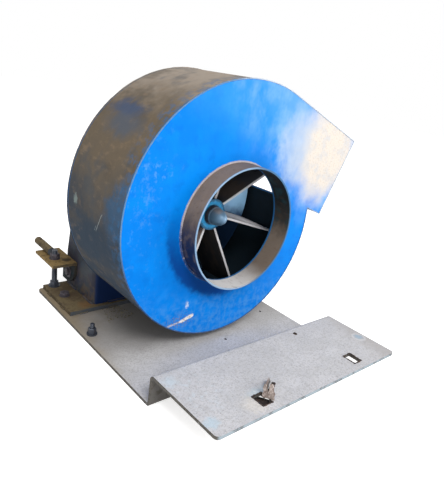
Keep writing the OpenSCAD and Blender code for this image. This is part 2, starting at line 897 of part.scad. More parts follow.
// Upright leg with a large round corner at its lower front
module bracket_leg() {
    y0 = shelf_front;
    y1 = shelf_front + leg_len;
    z0 = shelf_z - bracket_t - leg_h;
    z1 = shelf_z - bracket_t;
    translate([leg_x, 0, 0]) rotate([90, 0, 90]) linear_extrude(bracket_t) {
        translate([y0, z0 + leg_round]) square([leg_len, z1 - z0 - leg_round]);
        translate([y0 + leg_round, z0]) square([y1 - y0 - leg_round, z1 - z0]);
        intersection() {
            translate([y0 + leg_round, z0 + leg_round]) circle(leg_round);
            translate([y0, z0]) square([leg_round, leg_round]);
        }
    }
}

module pivot_rod() {
    hole_in = 2 * rod_r;
    color("tan") translate([stud_x, rod_rear, shelf_z + rod_r]) difference() {
        rotate([90, 0, 0]) cylinder(r = rod_r, h = rod_len);
        translate([0, -hole_in, -2 * rod_r]) cylinder(r = rod_hole_r, h = 4 * rod_r);
    }
}

module guide_bolt() {
    inner_x = -pedestal_half + pedestal_t + body_gap;
    color("gray") {
        translate([leg_x, guide_y, guide_z]) rotate([0, 90, 0]) cylinder(r = m8[0], h = inner_x - leg_x);
        translate([inner_x, guide_y, guide_z]) rotate([0, 90, 0]) cylinder(r = m8[1], h = m8[2], $fn = 6);
    }
}

module jack_stud() {
    color("dimgray") translate([stud_x, stud_y, base_t])
        cylinder(r = stud_r, h = shelf_z + stud_above - base_t);
}

module jack_nut(z) {
    translate([stud_x, stud_y, z]) difference() {
        cylinder(r = m8[1], h = nut_h, $fn = 6);
        translate([0, 0, -overrun]) cylinder(r = stud_r + run_fit, h = nut_h + 2 * overrun);
    }
}

module jack_nuts() {
    color("dimgray") {
        jack_nut(shelf_z);
        jack_nut(shelf_z - bracket_t - nut_h);
    }
}

module stud_foot_nut() {
    color("dimgray") translate([stud_x, stud_y, foot_top]) difference() {
        union() {
            cylinder(r = m8[1] + washer_extra_r, h = washer_t);
            translate([0, 0, washer_t]) cylinder(r = m8[1], h = nut_h, $fn = 6);
        }
        translate([0, 0, -overrun]) cylinder(r = stud_r, h = nut_h + washer_t + 2 * overrun);
    }
}

base_plate();
raised_plate();
foot_plate();
pedestal_shell();
pedestal_top();
mounting_plate();
front_plate();
inlet_collar();
scroll_wrap();
outlet_floor();
back_plate();
seal_plate();
shaft_seal();
seal_screws();
casing_bolts();
mounting_bolts();
foot_bolts();
base_studs();
base_stud_nuts();
housing(0);  // front_housing
housing(1);  // rear_housing
outer_ring(0);  // front_outer_ring
outer_ring(1);  // rear_outer_ring
bearing_bolts();
bearing_nuts();
grease_nipples();
shaft();
hub();
hub_key();
back_disc();
blade(0);  // blade_1
blade(1);  // blade_2
blade(2);  // blade_3
blade(3);  // blade_4
blade(4);  // blade_5
blade(5);  // blade_6
blade(6);  // blade_7
blade(7);  // blade_8
cap_washer();
nose_cap();
drive_key();
inner_ring(0);  // front_inner_ring
inner_ring(1);  // rear_inner_ring
bearing_balls();
set_screws();
tension_bracket();
pivot_rod();
guide_bolt();
jack_stud();
jack_nuts();
stud_foot_nut();
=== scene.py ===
"""Looks of an industrial centrifugal blower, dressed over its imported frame.

X runs along the casing's front plate, Y along the shaft from the inlet to the drive end, and Z is up. The
floor is at zero, and the shaft stands above the origin. Sizes in this file are millimetres, because the shop
that made the blower worked in them, and MM turns them to Blender's metres.
"""

import logging
import math
from collections.abc import Sequence
from dataclasses import dataclass, field
from enum import Enum
from functools import partial, reduce
from typing import Protocol

import bmesh
import bpy
from mathutils import Matrix, Vector, noise


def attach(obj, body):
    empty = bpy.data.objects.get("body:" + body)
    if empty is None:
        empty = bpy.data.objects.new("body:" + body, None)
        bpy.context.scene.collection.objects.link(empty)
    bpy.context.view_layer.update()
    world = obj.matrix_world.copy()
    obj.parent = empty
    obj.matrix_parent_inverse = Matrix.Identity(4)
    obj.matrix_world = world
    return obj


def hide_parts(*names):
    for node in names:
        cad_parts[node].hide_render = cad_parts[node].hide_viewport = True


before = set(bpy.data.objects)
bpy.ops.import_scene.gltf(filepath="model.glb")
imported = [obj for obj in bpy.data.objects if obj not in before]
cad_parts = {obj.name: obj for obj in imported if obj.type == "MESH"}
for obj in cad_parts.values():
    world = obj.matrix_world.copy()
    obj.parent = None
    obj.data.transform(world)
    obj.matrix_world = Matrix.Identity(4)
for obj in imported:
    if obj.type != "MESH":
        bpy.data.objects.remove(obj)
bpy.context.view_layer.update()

LOG = logging.getLogger("blower")
MM = 0.001
FULL_TURN = 2 * math.pi
SHAFT_Z = 170.0
BEARING_Y = (164.0, 202.0)
Point = Sequence[float]
WHITE = "FFFFFF"
# Numbers of the Mix node's two inputs and its output, where it mixes colours and where it mixes numbers
MIX_COLOUR = (6, 7, 2)
MIX_NUMBER = (2, 3, 0)
# Roughness of the noise that makes patches, the detail and roughness of the noise that moves their edges,
# and what that noise is multiplied by, because it strays little from its middle
GRAIN_ROUGHNESS = 0.6
WARP_DETAIL = 4.0
WARP_ROUGHNESS = 0.65
WARP_GAIN = 4


class Axis(Enum):
    """Main directions of the part's frame."""

    RIGHT = (1.0, 0.0, 0.0)
    LEFT = (-1.0, 0.0, 0.0)
    BACK = (0.0, 1.0, 0.0)
    FRONT = (0.0, -1.0, 0.0)
    UP = (0.0, 0.0, 1.0)
    DOWN = (0.0, 0.0, -1.0)


class Body(Enum):
    """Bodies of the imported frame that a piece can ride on."""

    FRAME = "frame"
    ROTOR = "rotor"
    BRACKET = "bracket"


def linear(hex_colour: str, alpha: float = 1.0) -> tuple[float, float, float, float]:
    """Turns an sRGB hex colour into linear values.

    Args:
        hex_colour: Six hex digits, such as "0A84F0".
        alpha: Opacity to go with the colour.

    Returns:
        Red, green, blue and alpha, linear.
    """
    channels = [int(hex_colour[i:i + 2], 16) / 255 for i in (0, 2, 4)]
    red, green, blue = (c / 12.92 if c <= 0.04045 else ((c + 0.055) / 1.055) ** 2.4 for c in channels)
    return red, green, blue, alpha


def add(tree: bpy.types.NodeTree, kind: str, links: dict | None = None, **settings) -> bpy.types.Node:
    """Adds a node with its settings, and gives its inputs values or links.

    Args:
        tree: The tree that gets the node.
        kind: Blender's name of the node's type.
        links: Input name or number, to the socket that feeds it or its constant value.
        **settings: Properties of the node itself.

    Returns:
        The new node.
    """
    node = tree.nodes.new(kind)
    for key, value in settings.items():
        setattr(node, key, value)
    for key, value in (links or {}).items():
        if isinstance(value, bpy.types.NodeSocket):
            tree.links.new(value, node.inputs[key])
        else:
            node.inputs[key].default_value = value
    return node


def reckon(tree: bpy.types.NodeTree, operation: str, *values, clamp: bool = False) -> bpy.types.NodeSocket:
    """Adds a sum of numbers to a tree.

    Args:
        tree: The tree that gets it.
        operation: Blender's name of the sum, such as "MULTIPLY".
        *values: Sockets or plain numbers to reckon with.
        clamp: Whether the result is kept from 0 to 1.

    Returns:
        The result's socket.
    """
    node = add(tree, "ShaderNodeMath", dict(enumerate(values)), operation=operation, use_clamp=clamp)
    return node.outputs[0]


def mixed(tree: bpy.types.NodeTree, sockets: tuple[int, int, int], mask: bpy.types.NodeSocket,
          under: object, over: object) -> bpy.types.NodeSocket:
    """Lays a colour or a number over another where a mask is.

    Args:
        tree: The tree that gets it.
        sockets: MIX_COLOUR or MIX_NUMBER.
        mask: The mask, from 0 to 1.
        under: What shows where the mask is 0.
        over: What shows where the mask is 1.

    Returns:
        The mixed colour or number.
    """
    first, second, result = sockets
    kind = "RGBA" if sockets == MIX_COLOUR else "FLOAT"
    node = add(tree, "ShaderNodeMix", {"Factor": mask, first: under, second: over}, data_type=kind)
    return node.outputs[result]


def shown_rays(tree: bpy.types.NodeTree) -> bpy.types.NodeSocket:
    """Picks the rays that show the background as white: the camera's, and those off metal and through glass.

    Args:
        tree: The tree that gets it.

    Returns:
        1 for such a ray, and 0 for one that lights the object.
    """
    path = add(tree, "ShaderNodeLightPath")
    rays = [path.outputs[f"Is {kind} Ray"] for kind in ("Camera", "Glossy", "Transmission")]
    return reduce(partial(reckon, tree, "MAXIMUM"), rays)


@dataclass
class Painter:
    """Holds a material's tree and the sockets that its masks read."""

    tree: bpy.types.NodeTree
    place: bpy.types.NodeSocket = field(init=False)
    normal: bpy.types.NodeSocket = field(init=False)
    grains: dict[tuple, bpy.types.NodeSocket] = field(default_factory=dict)
    warps: dict[tuple, bpy.types.NodeSocket] = field(default_factory=dict)

    def __post_init__(self) -> None:
        """Reads the piece's own coordinates, in millimetres, and its normal."""
        coords = add(self.tree, "ShaderNodeTexCoord")
        self.place = self.vector("SCALE", coords.outputs["Object"], Scale=1 / MM)
        self.normal = coords.outputs["Normal"]

    def vector(self, operation: str, *values, **named) -> bpy.types.NodeSocket:
        """Adds a vector sum to the material.

        Args:
            operation: Blender's name of the sum, such as "SCALE".
            *values: Sockets or plain vectors to reckon with.
            **named: The same, by the names of the node's inputs.

        Returns:
            The result's socket, a number for a dot product, a length or a distance.
        """
        inputs = {**dict(enumerate(values)), **named}
        node = add(self.tree, "ShaderNodeVectorMath", inputs, operation=operation)
        return node.outputs["Value" if operation in {"DOT_PRODUCT", "LENGTH", "DISTANCE"} else "Vector"]

    def number(self, operation: str, *values, clamp: bool = False) -> bpy.types.NodeSocket:
        """Adds a sum of numbers to the material.

        Args:
            operation: Blender's name of the sum, such as "MULTIPLY".
            *values: Sockets or plain numbers to reckon with.
            clamp: Whether the result is kept from 0 to 1.

        Returns:
            The result's socket.
        """
        return reckon(self.tree, operation, *values, clamp=clamp)

    def grain(self, size: float, detail: float = 3.0, stretch: Point = (1, 1, 1),
              shift: float = 0.0) -> bpy.types.NodeSocket:
        """Adds fractal noise whose patches are about `size` millimetres wide, or reuses it.

        Args:
            size: Width of a patch.
            detail: Number of finer layers.
            stretch: How much longer a patch is along X, Y and Z.
            shift: Moves the pattern, so that two alike don't match.

        Returns:
            The noise, from about 0.3 to 0.7.
        """
        key = (size, detail, tuple(stretch), shift)
        if key not in self.grains:
            scale = tuple(1 / (size * s) for s in stretch)
            at = self.vector("MULTIPLY_ADD", self.place, scale, (shift, shift, shift))
            inputs = {"Vector": at, "Scale": 1.0, "Detail": detail, "Roughness": GRAIN_ROUGHNESS}
            self.grains[key] = add(self.tree, "ShaderNodeTexNoise", inputs).outputs["Fac"]
        return self.grains[key]

    def warped(self, reach: float, size: float) -> bpy.types.NodeSocket:
        """Moves the place about, or reuses a place that is moved about alike.

        Args:
            reach: How far it is moved, in millimetres.
            size: Width of the waves that move it.

        Returns:
            The moved place.
        """
        if not reach:
            return self.place
        key = (reach, size)
        if key not in self.warps:
            at = self.vector("SCALE", self.place, Scale=1 / size)
            inputs = {"Vector": at, "Scale": 1.0, "Detail": WARP_DETAIL, "Roughness": WARP_ROUGHNESS}
            wave = add(self.tree, "ShaderNodeTexNoise", inputs).outputs["Color"]
            centred = self.vector("SUBTRACT", wave, (0.5, 0.5, 0.5))
            self.warps[key] = self.vector("MULTIPLY_ADD", centred, (WARP_GAIN * reach,) * 3, self.place)
        return self.warps[key]

    def between(self, value: bpy.types.NodeSocket, low: float, high: float) -> bpy.types.NodeSocket:
        """Makes a soft step.

        Args:
            value: The number that goes through it.
            low: Where the step is at 0.
            high: Where it is at 1.

        Returns:
            The step, from 0 to 1.
        """
        inputs = {"Value": value, "From Min": low, "From Max": high}
        node = add(self.tree, "ShaderNodeMapRange", inputs, interpolation_type="SMOOTHSTEP")
        return node.outputs["Result"]

    def band(self, value: bpy.types.NodeSocket, low: float, high: float,
             soft: float) -> bpy.types.NodeSocket:
        """Makes a band that is 1 from one value to another.

        Args:
            value: The number that goes through it.
            low: Middle of its lower edge.
            high: Middle of its upper edge.
            soft: Half the width of both edges.

        Returns:
            The band, from 0 to 1.
        """
        rise = self.between(value, low - soft, low + soft)
        fall = self.between(value, high + soft, high - soft)
        return self.number("MULTIPLY", rise, fall)


class Mask(Protocol):
    """Says where a coat lies."""

    def build(self, painter: Painter) -> bpy.types.NodeSocket:
        """Adds the mask's nodes to a material.

        Args:
            painter: The material's painter.

        Returns:
            A number from 0, where the coat isn't, to 1, where it is whole.
        """


@dataclass(frozen=True)
class Spot:
    """A stain about a place: an ellipsoid with a ragged, soft edge."""

    centre: Point
    radii: Point
    soft: float = 0.5
    ragged: float = 6.0
    wave: float = 18.0

    def build(self, painter: Painter) -> bpy.types.NodeSocket:
        """See Mask."""
        away = painter.vector("SUBTRACT", painter.warped(self.ragged, self.wave), tuple(self.centre))
        scaled = painter.vector("MULTIPLY", away, tuple(1 / r for r in self.radii))
        return painter.between(painter.vector("LENGTH", scaled), 1 + self.soft / 2, 1 - self.soft / 2)


@dataclass(frozen=True)
class Fade:
    """A change along a direction, from none at `low` to full at `high`, in millimetres along it."""

    direction: Point
    low: float
    high: float
    ragged: float = 8.0
    wave: float = 30.0

    def build(self, painter: Painter) -> bpy.types.NodeSocket:
        """See Mask."""
        along = painter.vector("DOT_PRODUCT", painter.warped(self.ragged, self.wave), tuple(self.direction))
        return painter.between(along, self.low, self.high)


@dataclass(frozen=True)
class Mottle:
    """Patches of fractal noise."""

    size: float
    low: float = 0.45
    high: float = 0.6
    detail: float = 3.0
    stretch: Point = (1, 1, 1)
    shift: float = 0.0

    def build(self, painter: Painter) -> bpy.types.NodeSocket:
        """See Mask."""
        grain = painter.grain(self.size, self.detail, self.stretch, self.shift)
        return painter.between(grain, self.low, self.high)


@dataclass(frozen=True)
class Facing:
    """Faces that look along a direction."""

    direction: Point
    low: float = 0.5
    high: float = 0.9

    def build(self, painter: Painter) -> bpy.types.NodeSocket:
        """See Mask."""
        facing = painter.vector("DOT_PRODUCT", painter.normal, tuple(self.direction))
        return painter.between(facing, self.low, self.high)


@dataclass(frozen=True)
class Inward:
    """Faces that look toward the shaft's axis, such as the inside of the scroll."""

    soft: float = 20.0

    def build(self, painter: Painter) -> bpy.types.NodeSocket:
        """See Mask."""
        away = painter.vector("SUBTRACT", painter.place, (0, 0, SHAFT_Z))
        home = painter.vector("MULTIPLY", away, (-1, 0, -1))
        return painter.between(painter.vector("DOT_PRODUCT", painter.normal, home), 0, self.soft)


@dataclass(frozen=True)
class Scratch:
    """A line from one place to another, with ragged sides; `core` is the share that is whole."""

    start: Point
    end: Point
    width: float = 1.5
    ragged: float = 0.8
    wave: float = 4.0
    core: float = 0.4

    def build(self, painter: Painter) -> bpy.types.NodeSocket:
        """See Mask."""
        start = Vector(self.start)
        run = Vector(self.end) - start
        away = painter.vector("SUBTRACT", painter.warped(self.ragged, self.wave), tuple(start))
        along = painter.vector("DOT_PRODUCT", away, tuple(run))
        share = painter.number("DIVIDE", along, run.length_squared, clamp=True)
        nearest = painter.vector("SCALE", tuple(run), Scale=share)
        aside = painter.vector("DISTANCE", away, nearest)
        return painter.between(aside, self.width, self.width * self.core)


@dataclass(frozen=True)
class RoundShaft:
    """A ring about the shaft's axis, between two radii with soft edges."""

    inner: float
    outer: float
    soft: float = 2.0
    ragged: float = 1.0
    wave: float = 8.0

    def build(self, painter: Painter) -> bpy.types.NodeSocket:
        """See Mask."""
        away = painter.vector("SUBTRACT", painter.warped(self.ragged, self.wave), (0, 0, SHAFT_Z))
        radius = painter.vector("LENGTH", painter.vector("MULTIPLY", away, (1, 0, 1)))
        return painter.band(radius, self.inner, self.outer, self.soft)


@dataclass(frozen=True)
class RingSpot:
    """A ring about a place on a level plate."""

    centre: Point
    inner: float
    outer: float
    soft: float = 1.0
    ragged: float = 1.5
    wave: float = 6.0

    def build(self, painter: Painter) -> bpy.types.NodeSocket:
        """See Mask."""
        away = painter.vector("SUBTRACT", painter.warped(self.ragged, self.wave), tuple(self.centre))
        return painter.band(painter.vector("LENGTH", away), self.inner, self.outer, self.soft)


@dataclass(frozen=True)
class Both:
    """Where all of several masks are."""

    masks: tuple[Mask, ...]

    def build(self, painter: Painter) -> bpy.types.NodeSocket:
        """See Mask."""
        sockets = [mask.build(painter) for mask in self.masks]
        return reduce(partial(painter.number, "MULTIPLY"), sockets)


@dataclass(frozen=True)
class Coat:
    """One colour laid over what is under it, with its own roughness or metal where they are given."""

    mask: Mask
    colour: str
    strength: float = 1.0
    roughness: float | None = None
    metallic: float | None = None


@dataclass(frozen=True)
class Finish:
    """A material: its real name, its base colour, its gloss, the coats over it and its fine relief.

    The relief is pairs of a grain's width and its depth, in millimetres.
    """

    name: str
    colour: str
    roughness: float
    metallic: float = 0.0
    gloss: float = 0.5
    coats: tuple[Coat, ...] = ()
    relief: tuple[tuple[float, float], ...] = ()

    def material(self) -> bpy.types.Material:
        """Builds the material, or finds it where it is built.

        Returns:
            The material.
        """
        if self.name in bpy.data.materials:
            return bpy.data.materials[self.name]
        material = bpy.data.materials.new(self.name)
        material.use_nodes = True
        tree = material.node_tree
        tree.nodes.clear()
        painter = Painter(tree)
        shader = add(tree, "ShaderNodeBsdfPrincipled", {
            "Base Color": linear(self.colour), "Roughness": self.roughness, "Metallic": self.metallic,
            "Specular IOR Level": self.gloss})
        self._paint(painter, shader)
        self._roughen(painter, shader)
        add(tree, "ShaderNodeOutputMaterial", {"Surface": shader.outputs["BSDF"]})
        return material

    def _paint(self, painter: Painter, shader: bpy.types.Node) -> None:
        """Lays the coats over each other, for colour, roughness and metal."""
        state: dict[str, object] = {"Base Color": linear(self.colour), "Roughness": self.roughness,
                                    "Metallic": self.metallic}
        for coat in self.coats:
            mask = painter.number("MULTIPLY", coat.mask.build(painter), coat.strength)
            under = state["Base Color"]
            state["Base Color"] = mixed(painter.tree, MIX_COLOUR, mask, under, linear(coat.colour))
            for socket, value in (("Roughness", coat.roughness), ("Metallic", coat.metallic)):
                if value is not None:
                    state[socket] = mixed(painter.tree, MIX_NUMBER, mask, state[socket], value)
        for socket, value in state.items():
            if isinstance(value, bpy.types.NodeSocket):
                painter.tree.links.new(value, shader.inputs[socket])

    def _roughen(self, painter: Painter, shader: bpy.types.Node) -> None:
        """Adds the surface's fine relief."""
        if not self.relief:
            return
        grains = [painter.number("MULTIPLY", painter.grain(size, 4.0), depth * MM)
                  for size, depth in self.relief]
        height = reduce(partial(painter.number, "ADD"), grains)
        bump = add(painter.tree, "ShaderNodeBump", {"Strength": 1.0, "Distance": 1.0, "Height": height})
        painter.tree.links.new(bump.outputs["Normal"], shader.inputs["Normal"])


# Azure enamel, brushed by hand over rolled sheet, bleached by the sun toward the outlet and paler toward the
# upper right with painted glare
AZURE_ENAMEL = Finish(
    "azure_enamel", "0071CC", roughness=0.5, gloss=0.06, relief=((9.0, 0.22), (1.6, 0.05)),
    coats=(
        Coat(Mottle(55, 0.42, 0.62), "007BD6", 0.8),
        Coat(Mottle(20, 0.52, 0.66, shift=3.0), "0068C2", 0.5),
        # Paler toward the upper right, in fades and a large pale patch: sun bleaching with painted glare
        Coat(Fade((0.5, 0.0, 0.86), 205, 285, ragged=22, wave=50), "2E86D2", 0.75),
        Coat(Fade((0.72, 0.0, 0.69), 222, 282, ragged=24, wave=46), "5E96D2", 0.75),
        Coat(Both((Fade((0.72, 0.0, 0.69), 180, 250), Mottle(24, 0.38, 0.7, stretch=(1, 1, 1.4)))),
             "84ACD8", 0.45),
        Coat(Spot((168, 0, 262), (62, 60, 70), 0.8, 12, 34), "CCC4BA", 1.0, roughness=0.7),
        Coat(Both((Spot((172, 0, 258), (64, 60, 66), 0.7), Mottle(18, 0.46, 0.66, shift=8))), "B3B6BC", 0.6),
        Coat(Both((Spot((172, 0, 262), (56, 60, 60), 0.7), Mottle(2.4, 0.5, 0.64))), "B4A08E", 0.45),
        Coat(Spot((96, 0, 266), (24, 60, 44), 1.2, 12, 26), "A6B2C0", 0.65, roughness=0.6),
        Coat(Both((Spot((88, 0, 262), (34, 60, 44), 1.2, 14, 34),
                   Mottle(16, 0.36, 0.72, stretch=(1, 1, 1.3)))), "A9BACE", 0.5),
        Coat(Spot((212, 0, 186), (30, 60, 20), 0.8, 8), "3F93E6", 0.85),
        Coat(Both((Fade(Axis.DOWN.value, -105, -40), Mottle(9.0, 0.36, 0.70))), "4C8AC8", 0.6),
        Coat(Both((Fade(Axis.LEFT.value, 70, 150), Mottle(8.0, 0.54, 0.7, shift=7.0))), "3E86CC", 0.4),
        # Painted shadow of the collar on the plate, below it and to its left
        Coat(Both((RoundShaft(80, 100, 5, 3), Fade((-0.5, 0, -0.86), -130, -60))), "03377E", 0.9),
        Coat(Both((RoundShaft(80, 82, 0.8, 1.0), Fade((-0.4, 0, 0.9), 120, 180))), "9A8F98", 0.7),
        Coat(Scratch((-84, 0, 40.6), (-60, 0, 44), 2.0, 1.0), "B4B0B4", 0.85),
        Coat(Scratch((-64, 0, 43.5), (-47, 0, 48.5), 3.2, 1.2), "DCD6D0", 1.0),
        Coat(Both((Spot((-66, 0, 44), (22, 9, 10), 0.8, 5, 8), Mottle(2, 0.5, 0.6))), "6E6A78", 0.8),
        Coat(Spot((-57.4, 0, 66), (2.2, 9, 4.5), 1.1, 2.5, 4), "B8C6DA", 0.8),
        Coat(Both((Spot((-132, 0, 205), (12, 9, 30), 1.2, 8, 14), Mottle(9, 0.48, 0.66, shift=2))),
             "4C86C0", 0.5),
        Coat(Both((Spot((-120, 0, 242), (24, 9, 10), 1.2, 8, 14), Mottle(7, 0.52, 0.66, shift=5))),
             "5E94CC", 0.45),
        Coat(Both((Fade((-0.6, 0, -0.8), -20, 30), Mottle(4.5, 0.58, 0.72, shift=1))), "5C98D0", 0.35),
        Coat(Facing(Axis.FRONT.value, 0.6, 0.3), "2C5C86", 0.9, roughness=0.6),
    ),
)
# Blue enamel under years of brown dust: matt and warm where dust can lie, dark blue where it can't, with
# painted shade toward the bottom and on the lower left, and near black painted shade inside
DUST_AND_SHADE_ENAMEL = Finish(
    "dust_and_shade_enamel", "2E3942", roughness=0.8, gloss=0.2, relief=((14.0, 0.5), (2.2, 0.09)),
    coats=(
        Coat(Fade((-0.55, -0.1, 0.83), 165, 300, ragged=26, wave=60), "625646", 0.95),
        Coat(Fade((0.1, 0.05, 1.0), 285, 345, ragged=18, wave=50), "958A7E", 0.95),
        # Painted shade: darker toward the bottom
        Coat(Fade((0.0, 0.2, -0.98), -205, -120, ragged=26, wave=50), "27323F", 0.95),
        Coat(Mottle(40, 0.5, 0.64, stretch=(1, 2.0, 1)), "4B443B", 0.5),
        Coat(Mottle(34, 0.5, 0.72, shift=5.0), "33424F", 0.4),
        Coat(Mottle(9, 0.5, 0.8, shift=11.0, stretch=(1, 2, 1)), "84705A", 0.4),
        Coat(Spot((-111, 86, 296), (13, 34, 11), 1.3, 9, 22), "304462", 0.8, roughness=0.6),
        Coat(Spot((-128, 70, 282), (14, 34, 16), 1.3, 8, 22), "46505E", 0.75),
        # Painted shade on the lower left of the scroll
        Coat(Spot((-152, 60, 132), (20, 60, 34), 0.9, 14, 30), "20303F", 0.7),
        Coat(Spot((-161, 16, 196), (9, 22, 34), 0.9, 9, 22), "1E4F74", 0.6),
        Coat(Both((Fade(Axis.FRONT.value, -34, -2), Mottle(9, 0.46, 0.6, shift=3))), "2A5F8C", 0.5),
        Coat(Scratch((-160.6, 44, 182), (-160.2, 58, 158), 0.9, 0.7), "8E9696", 0.55),
        Coat(Scratch((-160.4, 58, 164), (-160.0, 66, 150), 0.7, 0.6), "7C8486", 0.5),
        Coat(Spot((-160, 112, 182), (4, 5, 6), 0.7, 3, 6), "8C9C98", 0.5),
        Coat(Fade(Axis.FRONT.value, -1.6, -0.4, ragged=0.5, wave=4), "5E86AE", 0.7),
        # Painted shade: the scroll's inside, which faces the shaft, painted near black
        Coat(Inward(), "0B1922", 0.97),
    ),
)
# The rear plates carry the same enamel, less dusty, with grime run down from the bearings
REAR_ENAMEL = Finish(
    "rear_enamel", "1B4A7C", roughness=0.62, gloss=0.35, relief=((12.0, 0.4), (2.0, 0.08)),
    coats=(
        Coat(Mottle(40, 0.42, 0.64), "2B4A68", 0.7),
        Coat(Fade((0.1, 0.0, 1.0), 190, 340, ragged=24, wave=60), "5D625F", 0.75),
        Coat(Mottle(12, 0.55, 0.7, stretch=(1, 1, 3)), "6B5B49", 0.5),
        Coat(Spot((0, 140, 150), (46, 30, 60), 0.9, 14, 30), "1C2128", 0.6, roughness=0.4),
        Coat(Mottle(3, 0.6, 0.72), "8795A2", 0.3),
    ),
)
INSIDE_COLLAR = RoundShaft(-20, 79, 0.5, 0)
# Collar: dust and bare rim over dark blue outside; inside, painted shade with painted light that is grey and
# brown on the right and pale at the bottom, under brown grime
COLLAR_ENAMEL = Finish(
    "collar_enamel", "342F2E", roughness=0.7, gloss=0.3, relief=((8.0, 0.3), (1.5, 0.06)),
    coats=(
        Coat(Fade((-0.62, 0, 0.78), 160, 225, ragged=10, wave=22), "84715F", 0.9),
        Coat(Fade((-0.35, 0, -0.94), -156, -112, ragged=9, wave=22), "0A1C3C", 0.95, roughness=0.5),
        Coat(Mottle(13, 0.5, 0.66), "6E5E50", 0.45),
        Coat(Mottle(5, 0.58, 0.7, shift=4), "4A3626", 0.5),
        # Painted shade: the collar's inside painted near black
        Coat(INSIDE_COLLAR, "12181C", 1.0),
        # Painted light inside the collar: brown-grey on the right, lighter at the lower right, near white at
        # the bottom
        Coat(Both((INSIDE_COLLAR, Fade((0.93, 0, -0.37), -12, 20, ragged=8, wave=20))), "3C3630", 0.95),
        Coat(Both((INSIDE_COLLAR, Fade((0.6, 0, -0.8), -92, -70, ragged=7, wave=18))), "6E6258", 0.95),
        Coat(Both((INSIDE_COLLAR, Fade((-0.25, 0, -0.97), -122, -86, ragged=2, wave=14))), "D2D0D0", 0.9),
        Coat(Both((INSIDE_COLLAR, Mottle(6, 0.5, 0.74, stretch=(1, 2, 1)))), "5A4434", 0.3),
        # Painted shade, patchy, on the inside's upper right
        Coat(Both((INSIDE_COLLAR, Fade((0.5, 0, 0.86), 165, 200), Mottle(14, 0.5, 0.62))), "16323A", 0.8),
        Coat(Both((Fade(Axis.FRONT.value, 26.8, 27.6, ragged=0.3, wave=5), Fade(Axis.LEFT.value, -50, 25))),
             "7E9CB8", 0.9),
        Coat(Both((Fade(Axis.FRONT.value, 26.8, 27.6, ragged=0.3, wave=5), Fade((1, 0, 0.1), 10, 60))),
             "3B688E", 0.9),
    ),
)
# Pedestal: the same blue in the casing's shadow, grimed purple-grey on its sides
PEDESTAL_ENAMEL = Finish(
    "pedestal_enamel", "041E46", roughness=0.6, gloss=0.25, relief=((12.0, 0.3), (2.0, 0.05)),
    coats=(
        Coat(Facing(Axis.LEFT.value, 0.4, 0.8), "2A2A34", 0.95),
        Coat(Both((Facing(Axis.LEFT.value, 0.4, 0.8), Mottle(24, 0.45, 0.6))), "30373C", 0.8),
        Coat(Both((Facing(Axis.LEFT.value, 0.4, 0.8), Fade(Axis.DOWN.value, -60, -12),
                   Mottle(10, 0.42, 0.6))), "5A4A36", 0.6),
        Coat(Mottle(26, 0.5, 0.68), "16304C", 0.3),
        Coat(Facing(Axis.UP.value, 0.6, 0.9), "5A5044", 0.6),
        Coat(Facing(Axis.BACK.value, 0.5, 0.9), "1F3550", 0.6),
    ),
)
# Impeller: enamel worn by the air to dusty brown, with bare bright front edges; two blades' faces carry
# painted light and one blade's face painted shade
BLADE_ENAMEL = Finish(
    "blade_enamel", "3B393B", roughness=0.6, gloss=0.35, relief=((7.0, 0.2),),
    coats=(
        Coat(Mottle(16, 0.45, 0.65, stretch=(2, 1, 2)), "5C5048", 0.6),
        # Painted light: the upper face of the blade at -17 degrees, pale where light falls on it
        Coat(Facing((0.29, 0, 0.957), 0.93, 0.99), "C2BDBE", 0.95),
        Coat(Both((Facing((0.29, 0, 0.957), 0.93, 0.99), Mottle(5, 0.42, 0.7, stretch=(4, 1, 1)))),
             "948C8C", 0.6),
        # Painted light: the face of the blade at 73 degrees
        Coat(Facing((-0.956, 0, 0.292), 0.95, 0.99), "B49C94", 0.9),
        # Painted shade: the upper face of the blade at 28 degrees, in the casing's shadow, with a lighter
        # brown band partway out
        Coat(Facing((-0.47, 0, 0.883), 0.95, 0.99), "4E5158", 0.85),
        Coat(Both((RoundShaft(34, 74, 10, 6), Facing((-0.47, 0, 0.883), 0.95, 0.99))), "6E5E52", 0.6),
        Coat(Fade(Axis.FRONT.value, -46.6, -45.3, ragged=0.3, wave=5), "E4E2E4", 0.95),
    ),
)
# Back disc: dark toward the shadowed side, with a painted pool of light in pale blue where light falls in
# between the blades
DISC_ENAMEL = Finish(
    "disc_enamel", "1C3658", roughness=0.5, gloss=0.4, relief=((9.0, 0.2),),
    coats=(
        # Painted light: the pale blue pool on the disc between two blades
        Coat(Spot((122, 118, 176), (64, 9, 34), 0.8, 6, 20), "84B0D2", 1.0),
        Coat(Spot((110, 118, 184), (44, 9, 22), 1.0, 6, 20), "93BEDC", 0.8),
        Coat(Mottle(20, 0.5, 0.8), "3C5A78", 0.3),
    ),
)
# Hub's front ring: bright blue where the enamel is thick, bare metal showing through
HUB_ENAMEL = Finish(
    "hub_enamel", "2FA0DA", roughness=0.45, gloss=0.3, relief=((3.0, 0.25),),
    coats=(
        Coat(Mottle(6, 0.5, 0.66), "1F79BC", 0.6),
        Coat(Mottle(2.5, 0.58, 0.7, shift=2), "A7C4D4", 0.7),
        Coat(RoundShaft(18.6, 24, 1.0, 1.6, 4), "2C5470", 0.8),
        # Painted shade on the hub's face round the cap's neck
        Coat(RoundShaft(-9, 14, 0.8, 0.5, 4), "1C3448", 0.9),
        Coat(Fade(Axis.BACK.value, 42, 60), "3A5570", 0.8),
    ),
)
